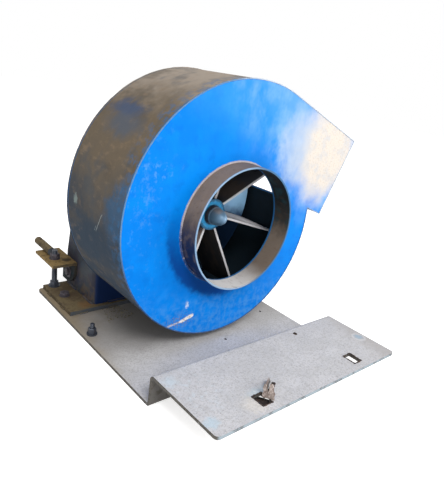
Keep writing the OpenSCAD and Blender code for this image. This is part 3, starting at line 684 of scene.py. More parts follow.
# Nose cap: turned steel, thin blue enamel, a film of dust on top, a painted highlight near its tip and
# painted shade on its neck
CAP_ENAMEL = Finish(
    "cap_enamel", "54748E", roughness=0.45, gloss=0.5, metallic=0.2, relief=((4.0, 0.12),),
    coats=(
        Coat(Fade((-0.3, 0, 0.95), 166, 182, ragged=2, wave=6), "80797A", 0.8, roughness=0.6),
        Coat(Spot((-3, 26, 180), (6, 6, 3), 0.9, 2, 5), "A08C80", 0.4, roughness=0.7),
        # Painted highlight near the cap's tip
        Coat(Spot((6, 15, 168), (7, 6, 8), 1.0, 1, 4), "A8CBEA", 0.7, roughness=0.25),
        # Painted shade: the cap's neck behind its lip
        Coat(Fade(Axis.BACK.value, 33.5, 35.5, ragged=0.4, wave=3), "2E4658", 0.8),
        Coat(Mottle(3, 0.58, 0.7), "4A6074", 0.4),
    ),
)
# Base: hot-dip galvanised plate, dulled, with grit in it, brown dust behind and paint dabs in front; dirt and
# painted shadow darken it toward the back and under the casing, and painted shade darkens the riser's front
GALVANISED_PLATE = Finish(
    "galvanised_plate", "B4B3B5", roughness=0.7, metallic=0.0, gloss=0.3,
    relief=((5.0, 0.1), (1.1, 0.12)),
    coats=(
        Coat(Mottle(38, 0.42, 0.64), "C0BFC2", 0.6),
        Coat(Mottle(2.4, 0.45, 0.66), "9B9999", 0.6),
        Coat(Mottle(1.1, 0.62, 0.69, detail=1.0, shift=9), "6A696B", 0.6),
        Coat(Mottle(2.0, 0.68, 0.72, detail=1.0, shift=14), "4C4A4A", 0.5),
        # Darker toward the back and under the casing: dirt with painted shadow
        Coat(Fade(Axis.BACK.value, -30, 70, ragged=20, wave=60), "8E8A86", 0.8),
        Coat(Both((Fade(Axis.BACK.value, -10, 70, ragged=16, wave=40),
                   Spot((-20, 60, 4), (100, 110, 9), 0.7))), "767472", 0.7),
        Coat(Fade((-0.55, 0.83, 0), 128, 220, ragged=18, wave=40), "6E604A", 0.9),
        Coat(Fade((-1, 0.1, 0), 146, 172, ragged=8, wave=30), "8E8068", 0.5),
        Coat(Fade((1, -0.2, 0), 130, 176, ragged=14, wave=30), "9C9896", 0.75),
        Coat(Spot((-150, -168, 42), (8, 6, 9), 1.3, 6, 10), "A9BECB", 0.6),
        Coat(Spot((-148, -96, 42), (8, 8, 9), 1.3, 6, 10), "B4C4CE", 0.5),
        Coat(Both((Spot((-130, -120, 42), (30, 40, 9), 1.2, 12, 20), Mottle(5, 0.5, 0.72))), "B9C6CE", 0.45),
        Coat(Spot((-74, -158, 42), (15, 9, 9), 1.0, 5, 8), "A6B4BC", 0.7),
        Coat(Spot((-94, -170, 42), (12, 12, 9), 1.2, 6, 8), "C9C2B8", 0.5),
        Coat(Both((Spot((-84, -168, 42), (30, 20, 9), 1.0, 8, 10), Mottle(3, 0.46, 0.7))), "D8D4D0", 0.35),
        Coat(Both((Spot((-70, -165, 48), (14, 16, 12), 0.8, 2, 6),
                   Fade(Axis.UP.value, 42.0, 42.8, ragged=0.2))), "6E5A52", 0.85),
        Coat(RingSpot((131.5, -140, 42), 6.5, 9.5), "D0D0D2", 0.35),
        Coat(Spot((131.5, -140, 42), (6, 5, 9), 1.2, 3, 6), "8DA2B2", 0.75),
        # Painted shade: faces looking to the front, chiefly the riser under the raised plate, painted dark
        # with mottle
        Coat(Facing(Axis.FRONT.value, 0.5, 0.9), "4A4742", 0.92),
        Coat(Both((Facing(Axis.FRONT.value, 0.5, 0.9), Fade(Axis.FRONT.value, 180, 184, ragged=0.3))),
             "93A0A8", 0.85),
        Coat(Both((Facing(Axis.FRONT.value, 0.5, 0.9), Mottle(9, 0.5, 0.66))), "3A332B", 0.6),
        Coat(Both((Facing(Axis.LEFT.value, 0.3, 0.8), Mottle(9, 0.2, 0.4))), "4A463E", 0.95),
        Coat(Both((Facing(Axis.LEFT.value, 0.3, 0.8), Mottle(3, 0.5, 0.6))), "2E2B28", 0.7),
        Coat(Facing(Axis.DOWN.value, 0.5, 0.9), "6E6558", 0.8),
    ),
)
# Old paint and rust, tan where dust lies
RUSTED_PAINT = Finish(
    "rusted_paint", "665A42", roughness=0.85, gloss=0.2, relief=((4.0, 0.3), (1.2, 0.1)),
    coats=(
        Coat(Mottle(18, 0.45, 0.62), "5A4E3C", 0.7),
        Coat(Mottle(5, 0.52, 0.66), "4A3F30", 0.7),
        Coat(Mottle(2.5, 0.6, 0.7, shift=6), "8A7450", 0.5),
        Coat(Both((Facing(Axis.FRONT.value, 0.5, 0.9), Mottle(40, 0.2, 0.5))), "3E4650", 0.85),
        Coat(Both((Facing(Axis.LEFT.value, 0.5, 0.9), Mottle(12, 0.3, 0.6))), "3A3226", 0.8),
        Coat(Spot((-122, 150, 10), (11, 8, 5), 1.2, 5, 10), "74502E", 0.5),
        Coat(Spot((-124, 196, 10), (20, 34, 5), 0.9, 9, 16), "4A3D30", 0.7),
    ),
)
# Bracket: the shelf is dusty and tan, and its leg keeps dark teal paint
BRACKET_PAINT = Finish(
    "bracket_paint", "836D46", roughness=0.85, gloss=0.2, relief=((4.0, 0.3), (1.2, 0.1)),
    coats=(
        Coat(Mottle(14, 0.45, 0.62), "6C5836", 0.7),
        Coat(Mottle(5, 0.52, 0.66), "40352A", 0.6),
        Coat(Mottle(2.2, 0.6, 0.7, shift=6), "927A50", 0.5),
        # Painted shade: a dark spot on the shelf for a shaded hole
        Coat(Spot((-124, 214, 55), (7, 6, 4), 0.6, 2, 5), "2A241E", 0.8),
        Coat(Fade(Axis.DOWN.value, -50.6, -49.4, ragged=0.4, wave=4), "121E26", 0.95),
        Coat(Both((Fade(Axis.DOWN.value, -49, -20), Mottle(6, 0.52, 0.64))), "1C3A40", 0.7),
        Coat(Facing(Axis.FRONT.value, 0.5, 0.9), "3A352E", 0.7),
    ),
)
# Grey-brown cast iron under thin dark paint
CAST_IRON = Finish(
    "painted_cast_iron", "27384C", roughness=0.66, gloss=0.4, relief=((1.6, 0.14), (6.0, 0.3)),
    coats=(
        Coat(Mottle(14, 0.5, 0.68), "3A4654", 0.6),
        Coat(Fade(Axis.UP.value, 176, 212, ragged=8, wave=20), "6B6459", 0.7),
        Coat(Mottle(4, 0.6, 0.72), "6A5040", 0.5),
    ),
)
# Turned steel, with faint rust where nothing rubs
TURNED_STEEL = Finish(
    "turned_steel", "9A9896", roughness=0.34, metallic=0.9, gloss=0.5,
    relief=((1.4, 0.02),),
    coats=(
        Coat(Mottle(9, 0.5, 0.66, stretch=(1, 0.3, 1)), "7A736B", 0.6, roughness=0.45),
        Coat(Mottle(3, 0.6, 0.7), "7B5238", 0.45, roughness=0.7, metallic=0.3),
    ),
)
# Zinc-plated fasteners gone dull and purple-grey
DULL_FASTENER = Finish(
    "dull_fastener", "3E3A40", roughness=0.6, metallic=0.3, gloss=0.4, relief=((2.0, 0.08),),
    coats=(
        Coat(Mottle(5, 0.48, 0.66), "565058", 0.7),
        Coat(Mottle(2.5, 0.58, 0.7), "5E4634", 0.5, roughness=0.8),
        Coat(Mottle(3, 0.6, 0.7, shift=4), "8A8A90", 0.5, roughness=0.45),
    ),
)
# Newer zinc plating, bluish and brighter
BRIGHT_FASTENER = Finish(
    "bright_fastener", "3A3F49", roughness=0.45, metallic=0.4, gloss=0.5, relief=((2.0, 0.06),),
    coats=(
        Coat(Mottle(4, 0.5, 0.66), "3C414C", 0.6),
        Coat(Mottle(2, 0.6, 0.7), "6E5646", 0.5, roughness=0.7),
    ),
)
# Brass gone brown in the open
BRASS = Finish("dull_brass", "A8843F", roughness=0.38, metallic=0.9,
               coats=(Coat(Mottle(3, 0.5, 0.66), "6E5A32", 0.5, roughness=0.6),))
# Felt soaked with oil
FELT = Finish("oiled_felt", "5B4B3C", roughness=0.95, gloss=0.2, relief=((0.8, 0.3),),
              coats=(Coat(Mottle(3, 0.45, 0.62), "2F2822", 0.7),))
# Weld beads under the same enamel, rubbed bare on their crests
WELD_STEEL = Finish("painted_weld", "33506C", roughness=0.6, relief=((1.2, 0.1),),
                    coats=(Coat(Mottle(6, 0.45, 0.6), "55606A", 0.7),
                           Coat(Mottle(2, 0.58, 0.7), "6B5340", 0.5)))
# The collar's weld catches dust outside and above, and stays blue below
COLLAR_WELD = Finish("collar_weld", "2B6CB0", roughness=0.6, relief=((1.2, 0.1),),
                     coats=(Coat(Fade((-0.5, 0, 0.86), 120, 200, 8, 16), "A09490", 0.9),
                            Coat(Fade((-0.4, 0, -0.92), -140, -110, 8, 16), "082A5C", 0.9),
                            Coat(Mottle(3, 0.55, 0.66), "C9B8AE", 0.6)))
# Rim seam: enamel rubbed through to pale metal at the left, pale toward the upper right with the plate's
# bleaching and painted glare, still blue elsewhere
RIM_EDGE = Finish("rubbed_rim_and_glare", "245E94", roughness=0.55, relief=((1.2, 0.08),),
                  coats=(Coat(Fade((-0.8, 0, 0.6), 150, 205, 12, 16), "54799C", 0.7),
                         Coat(Mottle(7, 0.5, 0.62), "4278AA", 0.6),
                         Coat(Fade((-0.3, 0, -0.95), -120, -60, 12, 20), "0F3E70", 0.85),
                         # Paler toward the upper right: bleaching with painted glare, as on the plate
                         Coat(Fade((0.72, 0, 0.69), 215, 260, 12, 20), "B4BCC6", 0.9),
                         Coat(Mottle(2.5, 0.6, 0.68, shift=4), "8694A2", 0.4)))
# Torn sheet: zinc cracked off pale steel, brown where it has rusted
BARE_EDGE = Finish("torn_galvanised_edge", "8C7F78", roughness=0.55, metallic=0.1, relief=((1.5, 0.15),),
                   coats=(Coat(Mottle(5, 0.45, 0.6, stretch=(1, 1, 3)), "5A4640", 0.75),
                          Coat(Mottle(2.4, 0.52, 0.64, shift=3), "C4B8B2", 0.7)))
# Inner side of the tear, brown-black with rust
TORN_INSIDE = Finish("rusted_tear", "241C18", roughness=0.8, relief=((1.5, 0.2),),
                     coats=(Coat(Mottle(5, 0.5, 0.62), "4A342A", 0.7),
                            Coat(Mottle(2.2, 0.58, 0.68, shift=3), "7C6A60", 0.5)))
# Black rubber of the bearings' seals
RUBBER = Finish("seal_rubber", "141414", roughness=0.7, gloss=0.3)
# Dry dirt under the casing
DRY_DIRT = Finish("dry_dirt", "6E685A", roughness=0.95, gloss=0.1,
                  coats=(Coat(Mottle(5, 0.45, 0.6), "7E7660", 0.8),
                         Coat(Mottle(4, 0.55, 0.62, shift=6), "45413A", 0.8)))

NODE_FINISHES: dict[str, Finish] = {
    "front_plate": AZURE_ENAMEL, "outlet_floor": AZURE_ENAMEL, "scroll_wrap": DUST_AND_SHADE_ENAMEL,
    "back_plate": REAR_ENAMEL, "mounting_plate": REAR_ENAMEL, "seal_plate": CAST_IRON,
    "inlet_collar": COLLAR_ENAMEL, "pedestal_shell": PEDESTAL_ENAMEL, "pedestal_top": PEDESTAL_ENAMEL,
    "hub": HUB_ENAMEL, "back_disc": DISC_ENAMEL, "nose_cap": CAP_ENAMEL,
    "base_plate": GALVANISED_PLATE, "raised_plate": GALVANISED_PLATE,
    "foot_plate": RUSTED_PAINT, "tension_bracket": BRACKET_PAINT,
    "pivot_rod": RUSTED_PAINT, "front_housing": CAST_IRON, "rear_housing": CAST_IRON,
    "shaft": TURNED_STEEL, "hub_key": TURNED_STEEL, "drive_key": TURNED_STEEL,
    "front_inner_ring": TURNED_STEEL, "rear_inner_ring": TURNED_STEEL, "front_outer_ring": TURNED_STEEL,
    "rear_outer_ring": TURNED_STEEL, "bearing_balls": TURNED_STEEL, "shaft_seal": FELT,
    "grease_nipples": BRASS, "base_studs": BRIGHT_FASTENER, "base_stud_nuts": BRIGHT_FASTENER,
    **{f"blade_{i}": BLADE_ENAMEL for i in range(1, 9)},
}


def dress_nodes() -> None:
    """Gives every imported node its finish."""
    for name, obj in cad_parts.items():
        finish = NODE_FINISHES.get(name, DULL_FASTENER)
        obj.data.materials.clear()
        obj.data.materials.append(finish.material())
        LOG.info("node %s: %s", name, finish.name)


@dataclass(frozen=True)
class Lamp:
    """A large soft lamp that looks at the casing: its place and width, and its power in watts."""

    name: str
    place: Point
    size: float
    power: float


@dataclass
class Studio:
    """Camera, lamps, floor and backdrop. The camera is the one that the photograph was taken with."""

    eye: Point = (-420.0, -439.0, 355.6)
    yaw: float = 43.0
    pitch: float = 20.152
    roll: float = 8.247
    focal_px: float = 493.816
    centre_px: Point = (221.889, 250.02)
    image_px: Point = (444, 500)
    floor_size: float = 9000.0
    sight: Point = (10.0, 60000.0)
    sky: float = 0.62
    floor_colour: str = "E9E9E9"
    floor_glow: float = 0.62
    lamps: tuple[Lamp, ...] = (
        Lamp("key", (-700, -1500, 1900), 900, 36.0),
        Lamp("low_left", (-1000, -980, 430), 500, 4.5),
        Lamp("right_fill", (1500, -1100, 900), 1100, 22.0),
    )
    lamp_target: Point = (0, 60, SHAFT_Z)
    spot: Lamp = Lamp("wheel_spot", (126, 20, 192), 10, 0.24)
    spot_target: Point = (92, 112, 156)
    spot_cone: float = 84.0

    def build(self) -> None:
        """Builds it all."""
        self._camera()
        self._world()
        self._floor()
        for lamp in self.lamps:
            self._lamp(lamp)
        self._spot()

    def _camera(self) -> None:
        """Sets the camera's place, turn, lens and shift."""
        yaw, pitch, roll = (math.radians(a) for a in (self.yaw, self.pitch, self.roll))
        ahead = Vector((math.sin(yaw) * math.cos(pitch), math.cos(yaw) * math.cos(pitch), -math.sin(pitch)))
        right = Vector((math.cos(yaw), -math.sin(yaw), 0))
        up = right.cross(ahead)
        turned_right = right * math.cos(roll) + up * math.sin(roll)
        turned_up = up * math.cos(roll) - right * math.sin(roll)
        camera = bpy.data.cameras.new("photo_camera")
        wide, high = self.image_px
        camera.lens = self.focal_px / high * camera.sensor_width
        camera.shift_x = (wide / 2 - self.centre_px[0]) / high
        camera.shift_y = (self.centre_px[1] - high / 2) / high
        nearest, farthest = self.sight
        camera.clip_start = nearest * MM
        camera.clip_end = farthest * MM
        obj = bpy.data.objects.new("photo_camera", camera)
        turn = Matrix((turned_right, turned_up, -ahead)).transposed().to_4x4()
        obj.matrix_world = Matrix.Translation(Vector(self.eye) * MM) @ turn
        bpy.context.scene.collection.objects.link(obj)
        bpy.context.scene.camera = obj

    def _world(self) -> None:
        """Sets an even pale sky, which the camera sees as white, in metal and through glass too."""
        world = bpy.data.worlds.new("studio")
        world.use_nodes = True
        tree = world.node_tree
        tree.nodes.clear()
        strength = mixed(tree, MIX_NUMBER, shown_rays(tree), self.sky, 1.0)
        light = add(tree, "ShaderNodeBackground", {"Color": linear(WHITE), "Strength": strength})
        add(tree, "ShaderNodeOutputWorld", {"Surface": light.outputs[0]})
        bpy.context.scene.world = world

    def _floor(self) -> None:
        """Lays a pale floor that shows white and keeps the blower's shadow."""
        half = self.floor_size / 2 * MM
        mesh = bpy.data.meshes.new("floor")
        corners = [(-half, -half, 0), (half, -half, 0), (half, half, 0), (-half, half, 0)]
        mesh.from_pydata(corners, [], [(0, 1, 2, 3)])
        material = bpy.data.materials.new("studio_floor")
        material.use_nodes = True
        tree = material.node_tree
        tree.nodes.clear()
        matt = add(tree, "ShaderNodeBsdfDiffuse", {"Color": linear(self.floor_colour)})
        glow = add(tree, "ShaderNodeEmission", {"Color": linear(WHITE), "Strength": self.floor_glow})
        nothing = add(tree, "ShaderNodeEmission", {"Strength": 0.0})
        shown = add(tree, "ShaderNodeMixShader", {
            0: shown_rays(tree), 1: nothing.outputs[0], 2: glow.outputs[0]})
        both = add(tree, "ShaderNodeAddShader", {0: matt.outputs[0], 1: shown.outputs[0]})
        add(tree, "ShaderNodeOutputMaterial", {"Surface": both.outputs[0]})
        mesh.materials.append(material)
        floor = bpy.data.objects.new("floor", mesh)
        bpy.context.scene.collection.objects.link(floor)

    def _lamp(self, kind: Lamp) -> None:
        """Adds a large soft lamp that looks at the casing."""
        lamp = bpy.data.lights.new(kind.name, "AREA")
        lamp.shape = "DISK"
        lamp.size = kind.size * MM
        lamp.energy = kind.power
        self._place(lamp, kind.place, self.lamp_target)

    def _spot(self) -> None:
        """Adds a small spot behind the front plate, for the sky light that comes in at the outlet."""
        lamp = bpy.data.lights.new(self.spot.name, "SPOT")
        lamp.energy = self.spot.power
        lamp.spot_size = math.radians(self.spot_cone)
        lamp.spot_blend = 1.0
        lamp.shadow_soft_size = self.spot.size * MM
        self._place(lamp, self.spot.place, self.spot_target)

    def _place(self, lamp: bpy.types.Light, place: Point, target: Point) -> None:
        """Puts a lamp at a place and turns it to its target."""
        obj = bpy.data.objects.new(lamp.name, lamp)
        obj.location = Vector(place) * MM
        aim = Vector(target) * MM - obj.location
        obj.rotation_euler = aim.to_track_quat("-Z", "Y").to_euler()
        bpy.context.scene.collection.objects.link(obj)


class Shop:
    """Turns meshes and node trees into pieces, and hands each one to its body."""

    def piece(self, name: str, mesh: bpy.types.Mesh, finish: Finish, body: Body, slot: str,
              replaces: Sequence[str] = ()) -> bpy.types.Object:
        """Makes a finished piece of a mesh.

        Args:
            name: Name of the piece.
            mesh: Its mesh, with its place in it.
            finish: Its finish.
            body: The body that it rides on.
            slot: The record's material slot; not used.
            replaces: The nodes that it stands for.

        Returns:
            The new object.
        """
        mesh.name = name
        mesh.materials.clear()
        mesh.materials.append(finish.material())
        obj = bpy.data.objects.new(name, mesh)
        bpy.context.scene.collection.objects.link(obj)
        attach(obj, body.value)
        if replaces:
            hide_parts(*replaces)
        LOG.info("piece %s: %d faces, %s", name, len(mesh.polygons), finish.name)
        return obj

    def grown(self, mesh: bpy.types.Mesh, tree: bpy.types.NodeTree, finish: Finish,
              values: dict[str, float]) -> bpy.types.Mesh:
        """Runs a node tree on a mesh and returns the plain mesh that comes out.

        Args:
            mesh: What the tree starts from.
            tree: The tree.
            finish: The finish that the tree sets.
            values: The tree's inputs by name, in metres where they are lengths.

        Returns:
            The new mesh.
        """
        holder = bpy.data.objects.new("holder", mesh)
        bpy.context.scene.collection.objects.link(holder)
        modifier = holder.modifiers.new("grow", "NODES")
        modifier.node_group = tree
        given = {**values, "Material": finish.material()}
        for item in tree.interface.items_tree:
            if item.in_out == "INPUT" and item.name in given:
                modifier[item.identifier] = given[item.name]
        graph = bpy.context.evaluated_depsgraph_get()
        result = bpy.data.meshes.new_from_object(holder.evaluated_get(graph))
        bpy.data.objects.remove(holder)
        return result


def new_tree(name: str,
             inputs: dict[str, str]) -> tuple[bpy.types.NodeTree, bpy.types.Node, bpy.types.Node]:
    """Starts a tree of geometry nodes.

    Args:
        name: Name of the tree.
        inputs: Names of its inputs and their socket types.

    Returns:
        The tree, its input node and its output node.
    """
    tree = bpy.data.node_groups.new(name, "GeometryNodeTree")
    tree.interface.new_socket(name="Geometry", in_out="INPUT", socket_type="NodeSocketGeometry")
    for key, kind in inputs.items():
        tree.interface.new_socket(name=key, in_out="INPUT", socket_type=kind)
    tree.interface.new_socket(name="Geometry", in_out="OUTPUT", socket_type="NodeSocketGeometry")
    return tree, add(tree, "NodeGroupInput"), add(tree, "NodeGroupOutput")


def finish_tree(tree: bpy.types.NodeTree, geometry: bpy.types.NodeSocket, given: bpy.types.Node,
                out: bpy.types.Node, smooth: bool) -> None:
    """Ends a tree: real geometry, its shading and its material.

    Args:
        tree: The tree.
        geometry: What the tree has made so far.
        given: The tree's input node.
        out: The tree's output node.
        smooth: Whether the faces are shaded as one round surface.
    """
    real = add(tree, "GeometryNodeRealizeInstances", {0: geometry})
    shaded = add(tree, "GeometryNodeSetShadeSmooth", {"Geometry": real.outputs[0], "Shade Smooth": smooth})
    dressed = add(tree, "GeometryNodeSetMaterial", {"Geometry": shaded.outputs[0],
                                                    "Material": given.outputs["Material"]})
    tree.links.new(dressed.outputs[0], out.inputs[0])


FLOAT = "NodeSocketFloat"
# Waves of a bead's wavering in a metre
BEAD_WAVES = 160.0
# Share of a hexagon's height and corner that is left below and inside its chamfer
CHAMFER = 0.86
HEX_SIDES = 6
WASHER_SIDES = 32
SHANK_SIDES = 24
# Largest turn of a crumb about each axis, in radians
CRUMB_TURN = (3, 3, 6)


def bead_tree() -> bpy.types.NodeTree:
    """Builds a bar along paths, with ripples across it: a weld bead, a rubbed seam or a thread.

    Returns:
        The tree.
    """
    tree, given, out = new_tree("bead", {
        "Radius": FLOAT, "Pitch": FLOAT, "Depth": FLOAT, "Step": FLOAT, "Waver": FLOAT,
        "Seed": FLOAT, "Sides": "NodeSocketInt", "Material": "NodeSocketMaterial"})
    sum_of = partial(reckon, tree)
    curve = add(tree, "GeometryNodeMeshToCurve", {0: given.outputs["Geometry"]})
    even = add(tree, "GeometryNodeResampleCurve", {
        "Curve": curve.outputs[0], "Length": given.outputs["Step"]}, mode="LENGTH")
    along = add(tree, "GeometryNodeSplineParameter")
    turns = sum_of("DIVIDE", along.outputs["Length"], given.outputs["Pitch"])
    ripple = sum_of("MULTIPLY", sum_of("SINE", sum_of("MULTIPLY", turns, FULL_TURN)), given.outputs["Depth"])
    place = add(tree, "GeometryNodeInputPosition")
    scaled = add(tree, "ShaderNodeVectorMath", {0: place.outputs[0], "Scale": BEAD_WAVES}, operation="SCALE")
    wave = add(tree, "ShaderNodeTexNoise", {
        "Vector": scaled.outputs[0], "W": given.outputs["Seed"], "Scale": 1.0, "Detail": 2.0},
        noise_dimensions="4D")
    centred = sum_of("SUBTRACT", wave.outputs[0], 0.5)
    waver = sum_of("MULTIPLY", centred, given.outputs["Waver"])
    radius = sum_of("ADD", sum_of("ADD", given.outputs["Radius"], ripple), waver)
    sized = add(tree, "GeometryNodeSetCurveRadius", {"Curve": even.outputs[0], "Radius": radius})
    section = add(tree, "GeometryNodeCurvePrimitiveCircle", {
        "Resolution": given.outputs["Sides"], "Radius": 1.0}, mode="RADIUS")
    own_radius = add(tree, "GeometryNodeInputRadius")
    bar = add(tree, "GeometryNodeCurveToMesh", {
        "Curve": sized.outputs[0], "Profile Curve": section.outputs[0], "Scale": own_radius.outputs[0],
        "Fill Caps": True})
    finish_tree(tree, bar.outputs[0], given, out, True)
    return tree


def hexagon_tree() -> bpy.types.NodeTree:
    """Builds chamfered hexagon heads or nuts on points that say which way they aim.

    Returns:
        The tree.
    """
    tree, given, out = new_tree("hexagons", {
        "Corner": FLOAT, "Height": FLOAT, "Washer": FLOAT, "Washer height": FLOAT, "Shank": FLOAT,
        "Out": FLOAT, "Under": FLOAT, "Seed": "NodeSocketInt", "Material": "NodeSocketMaterial"})
    sum_of = partial(reckon, tree)

    def lifted(mesh: bpy.types.NodeSocket, height: bpy.types.NodeSocket) -> bpy.types.NodeSocket:
        """Lifts a mesh.

        Args:
            mesh: The mesh.
            height: How far it is lifted.

        Returns:
            The lifted mesh.
        """
        offset = add(tree, "ShaderNodeCombineXYZ", {"Z": height}).outputs[0]
        return add(tree, "GeometryNodeTransform", {"Geometry": mesh, "Translation": offset}).outputs[0]

    def drum(sides: int, radius: object, height: object, base: object) -> bpy.types.NodeSocket:
        """Makes a drum.

        Args:
            sides: Number of its sides.
            radius: Its radius.
            height: Its height.
            base: Height of its foot.

        Returns:
            The drum.
        """
        mesh = add(tree, "GeometryNodeMeshCylinder", {"Vertices": sides, "Radius": radius, "Depth": height},
                   fill_type="NGON").outputs["Mesh"]
        return lifted(mesh, sum_of("ADD", base, sum_of("MULTIPLY", height, 0.5)))

    height = given.outputs["Height"]
    corner = given.outputs["Corner"]
    seat = given.outputs["Washer height"]
    under = given.outputs["Under"]
    side = sum_of("MULTIPLY", height, CHAMFER)
    body = drum(HEX_SIDES, corner, side, seat)
    cone = add(tree, "GeometryNodeMeshCone", {
        "Vertices": HEX_SIDES, "Radius Top": sum_of("MULTIPLY", corner, CHAMFER), "Radius Bottom": corner,
        "Depth": sum_of("SUBTRACT", height, side)}, fill_type="NGON").outputs["Mesh"]
    chamfer = lifted(cone, sum_of("ADD", seat, side))
    washer = drum(WASHER_SIDES, given.outputs["Washer"], seat, 0.0)
    shank_end = sum_of("ADD", under, given.outputs["Out"])
    whole = sum_of("ADD", sum_of("ADD", seat, height), shank_end)
    shank = drum(SHANK_SIDES, given.outputs["Shank"], whole, sum_of("MULTIPLY", under, -1.0))
    joined = add(tree, "GeometryNodeJoinGeometry")
    for part in (body, chamfer, washer, shank):
        tree.links.new(part, joined.inputs[0])
    aim = add(tree, "GeometryNodeInputNamedAttribute", {"Name": "aim"}, data_type="FLOAT_VECTOR")
    turned = add(tree, "FunctionNodeAlignRotationToVector", {"Vector": aim.outputs[0]}, axis="Z")
    spin = add(tree, "FunctionNodeRandomValue", {2: 0.0, 3: FULL_TURN, "Seed": given.outputs["Seed"]},
               data_type="FLOAT")
    about = add(tree, "FunctionNodeAxisAngleToRotation", {"Axis": (0, 0, 1), "Angle": spin.outputs[1]})
    both = add(tree, "FunctionNodeRotateRotation", {0: turned.outputs[0], 1: about.outputs[0]},
               rotation_space="LOCAL")
    placed = add(tree, "GeometryNodeInstanceOnPoints", {
        "Points": given.outputs["Geometry"], "Instance": joined.outputs[0], "Rotation": both.outputs[0]})
    finish_tree(tree, placed.outputs[0], given, out, False)
    return tree


def crumb_tree() -> bpy.types.NodeTree:
    """Builds crumbs of dirt, each with its own size and turn, spread over faces.

    Returns:
        The tree.
    """
    tree, given, out = new_tree("crumbs", {
        "Density": FLOAT, "Smallest": FLOAT, "Largest": FLOAT, "Seed": "NodeSocketInt",
        "Material": "NodeSocketMaterial"})
    spread = add(tree, "GeometryNodeDistributePointsOnFaces", {
        "Mesh": given.outputs["Geometry"], "Density": given.outputs["Density"],
        "Seed": given.outputs["Seed"]}, distribute_method="RANDOM")
    ball = add(tree, "GeometryNodeMeshIcoSphere", {"Radius": 1.0, "Subdivisions": 1})
    size = add(tree, "FunctionNodeRandomValue", {
        2: given.outputs["Smallest"], 3: given.outputs["Largest"], "Seed": given.outputs["Seed"]},
        data_type="FLOAT")
    turn = add(tree, "FunctionNodeRandomValue", {
        0: (0, 0, 0), 1: CRUMB_TURN, "Seed": given.outputs["Seed"]}, data_type="FLOAT_VECTOR")
    placed = add(tree, "GeometryNodeInstanceOnPoints", {
        "Points": spread.outputs["Points"], "Instance": ball.outputs[0],
        "Rotation": turn.outputs[0], "Scale": size.outputs[1]})
    finish_tree(tree, placed.outputs[0], given, out, False)
    return tree


def path_mesh(paths: Sequence[Sequence[Point]], closed: bool = False) -> bpy.types.Mesh:
    """Makes a mesh of edges alone, for a tree to turn into curves.

    Args:
        paths: Strings of places, in millimetres.
        closed: Whether each string ends where it starts.

    Returns:
        The mesh.
    """
    points: list[Vector] = []
    edges: list[tuple[int, int]] = []
    for path in paths:
        first = len(points)
        points += [Vector(place) * MM for place in path]
        edges += [(first + i, first + i + 1) for i in range(len(path) - 1)]
        if closed:
            edges.append((len(points) - 1, first))
    mesh = bpy.data.meshes.new("path")
    mesh.from_pydata(points, edges, [])
    return mesh


def aimed_points(places: Sequence[tuple[Point, Point]]) -> bpy.types.Mesh:
    """Makes points that each know a direction.

    Args:
        places: Pairs of a place, in millimetres, and the way its piece looks.

    Returns:
        The mesh, with the ways in its attribute "aim".
    """
    mesh = bpy.data.meshes.new("points")
    mesh.from_pydata([Vector(place) * MM for place, _ in places], [], [])
    attribute = mesh.attributes.new("aim", "FLOAT_VECTOR", "POINT")
    for item, (_, aim) in zip(attribute.data, places):
        item.vector = aim
    return mesh


def ring(radius: float, y: float, count: int = 96) -> list[Point]:
    """Finds places on a circle about the shaft's axis.

    Args:
        radius: The circle's radius, in millimetres.
        y: Where it lies along the shaft.
        count: Number of places.

    Returns:
        The places, in millimetres.
    """
    angles = [FULL_TURN * i / count for i in range(count)]
    return [(radius * math.cos(angle), y, SHAFT_Z + radius * math.sin(angle)) for angle in angles]


# How well a face has to look along a direction, how near it has to lie to its level, in millimetres, and
# how near two corners have to be, in metres, to count as one
FACES_ALONG = 0.99
LEVEL_REACH = 0.3
SAME_CORNER = 1e-6
# Distance between the places on a stitch, in millimetres
STITCH_STEP = 2


def outlines(node: str, direction: Point, level: float) -> list[list[Point]]:
    """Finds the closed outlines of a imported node's flat face.

    Args:
        node: The node.
        direction: The way the face looks.
        level: The face's distance along that direction, in millimetres.

    Returns:
        One ring of places in millimetres for each outline, the longest first.
    """
    work = bmesh.new()
    work.from_mesh(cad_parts[node].data)
    bmesh.ops.remove_doubles(work, verts=work.verts, dist=SAME_CORNER)
    way = Vector(direction)
    chosen = [face for face in work.faces if face.normal.dot(way) > FACES_ALONG
              and abs(face.calc_center_median().dot(way) / MM - level) < LEVEL_REACH]
    members = set(chosen)
    following: dict[bmesh.types.BMVert, bmesh.types.BMVert] = {}
    for face in chosen:
        for loop in face.loops:
            if not any(other in members for other in loop.edge.link_faces if other is not face):
                following[loop.vert] = loop.link_loop_next.vert
    rings = []
    while following:
        start, here = following.popitem()
        places = [start.co / MM]
        while here is not start and here in following:
            places.append(here.co / MM)
            here = following.pop(here)
        rings.append([tuple(place) for place in places])
    work.free()
    return sorted(rings, key=lambda loop: -sum(math.dist(a, b) for a, b in zip(loop, loop[1:])))


def stitches(places: Sequence[Point], on: float, off: float) -> list[list[Point]]:
    """Cuts a closed outline into stitches.

    Args:
        places: The outline.
        on: Length of a stitch.
        off: Length of the space after it.

    Returns:
        The stitches' paths.
    """
    result: list[list[Point]] = []
    travelled = 0.0
    for start, end in zip(places, [*places[1:], places[0]]):
        length = math.dist(start, end)
        count = max(1, round(length / STITCH_STEP))
        for i in range(count):
            place = tuple(Vector(start).lerp(Vector(end), i / count))
            if travelled % (on + off) < on:
                if not result or math.dist(result[-1][-1], place) > off / 2:
                    result.append([])
                result[-1].append(place)
            travelled += length / count
    return [path for path in result if len(path) > 2]


# How a torn strip's narrowing curves, how far its sides move on through the noise at each part, and the
# rows of noise that its two sides follow
TAPER_CURVE = 1.6
NOISE_STEP = 0.7
LEFT_ROW = 0.3
RIGHT_ROW = 7.3


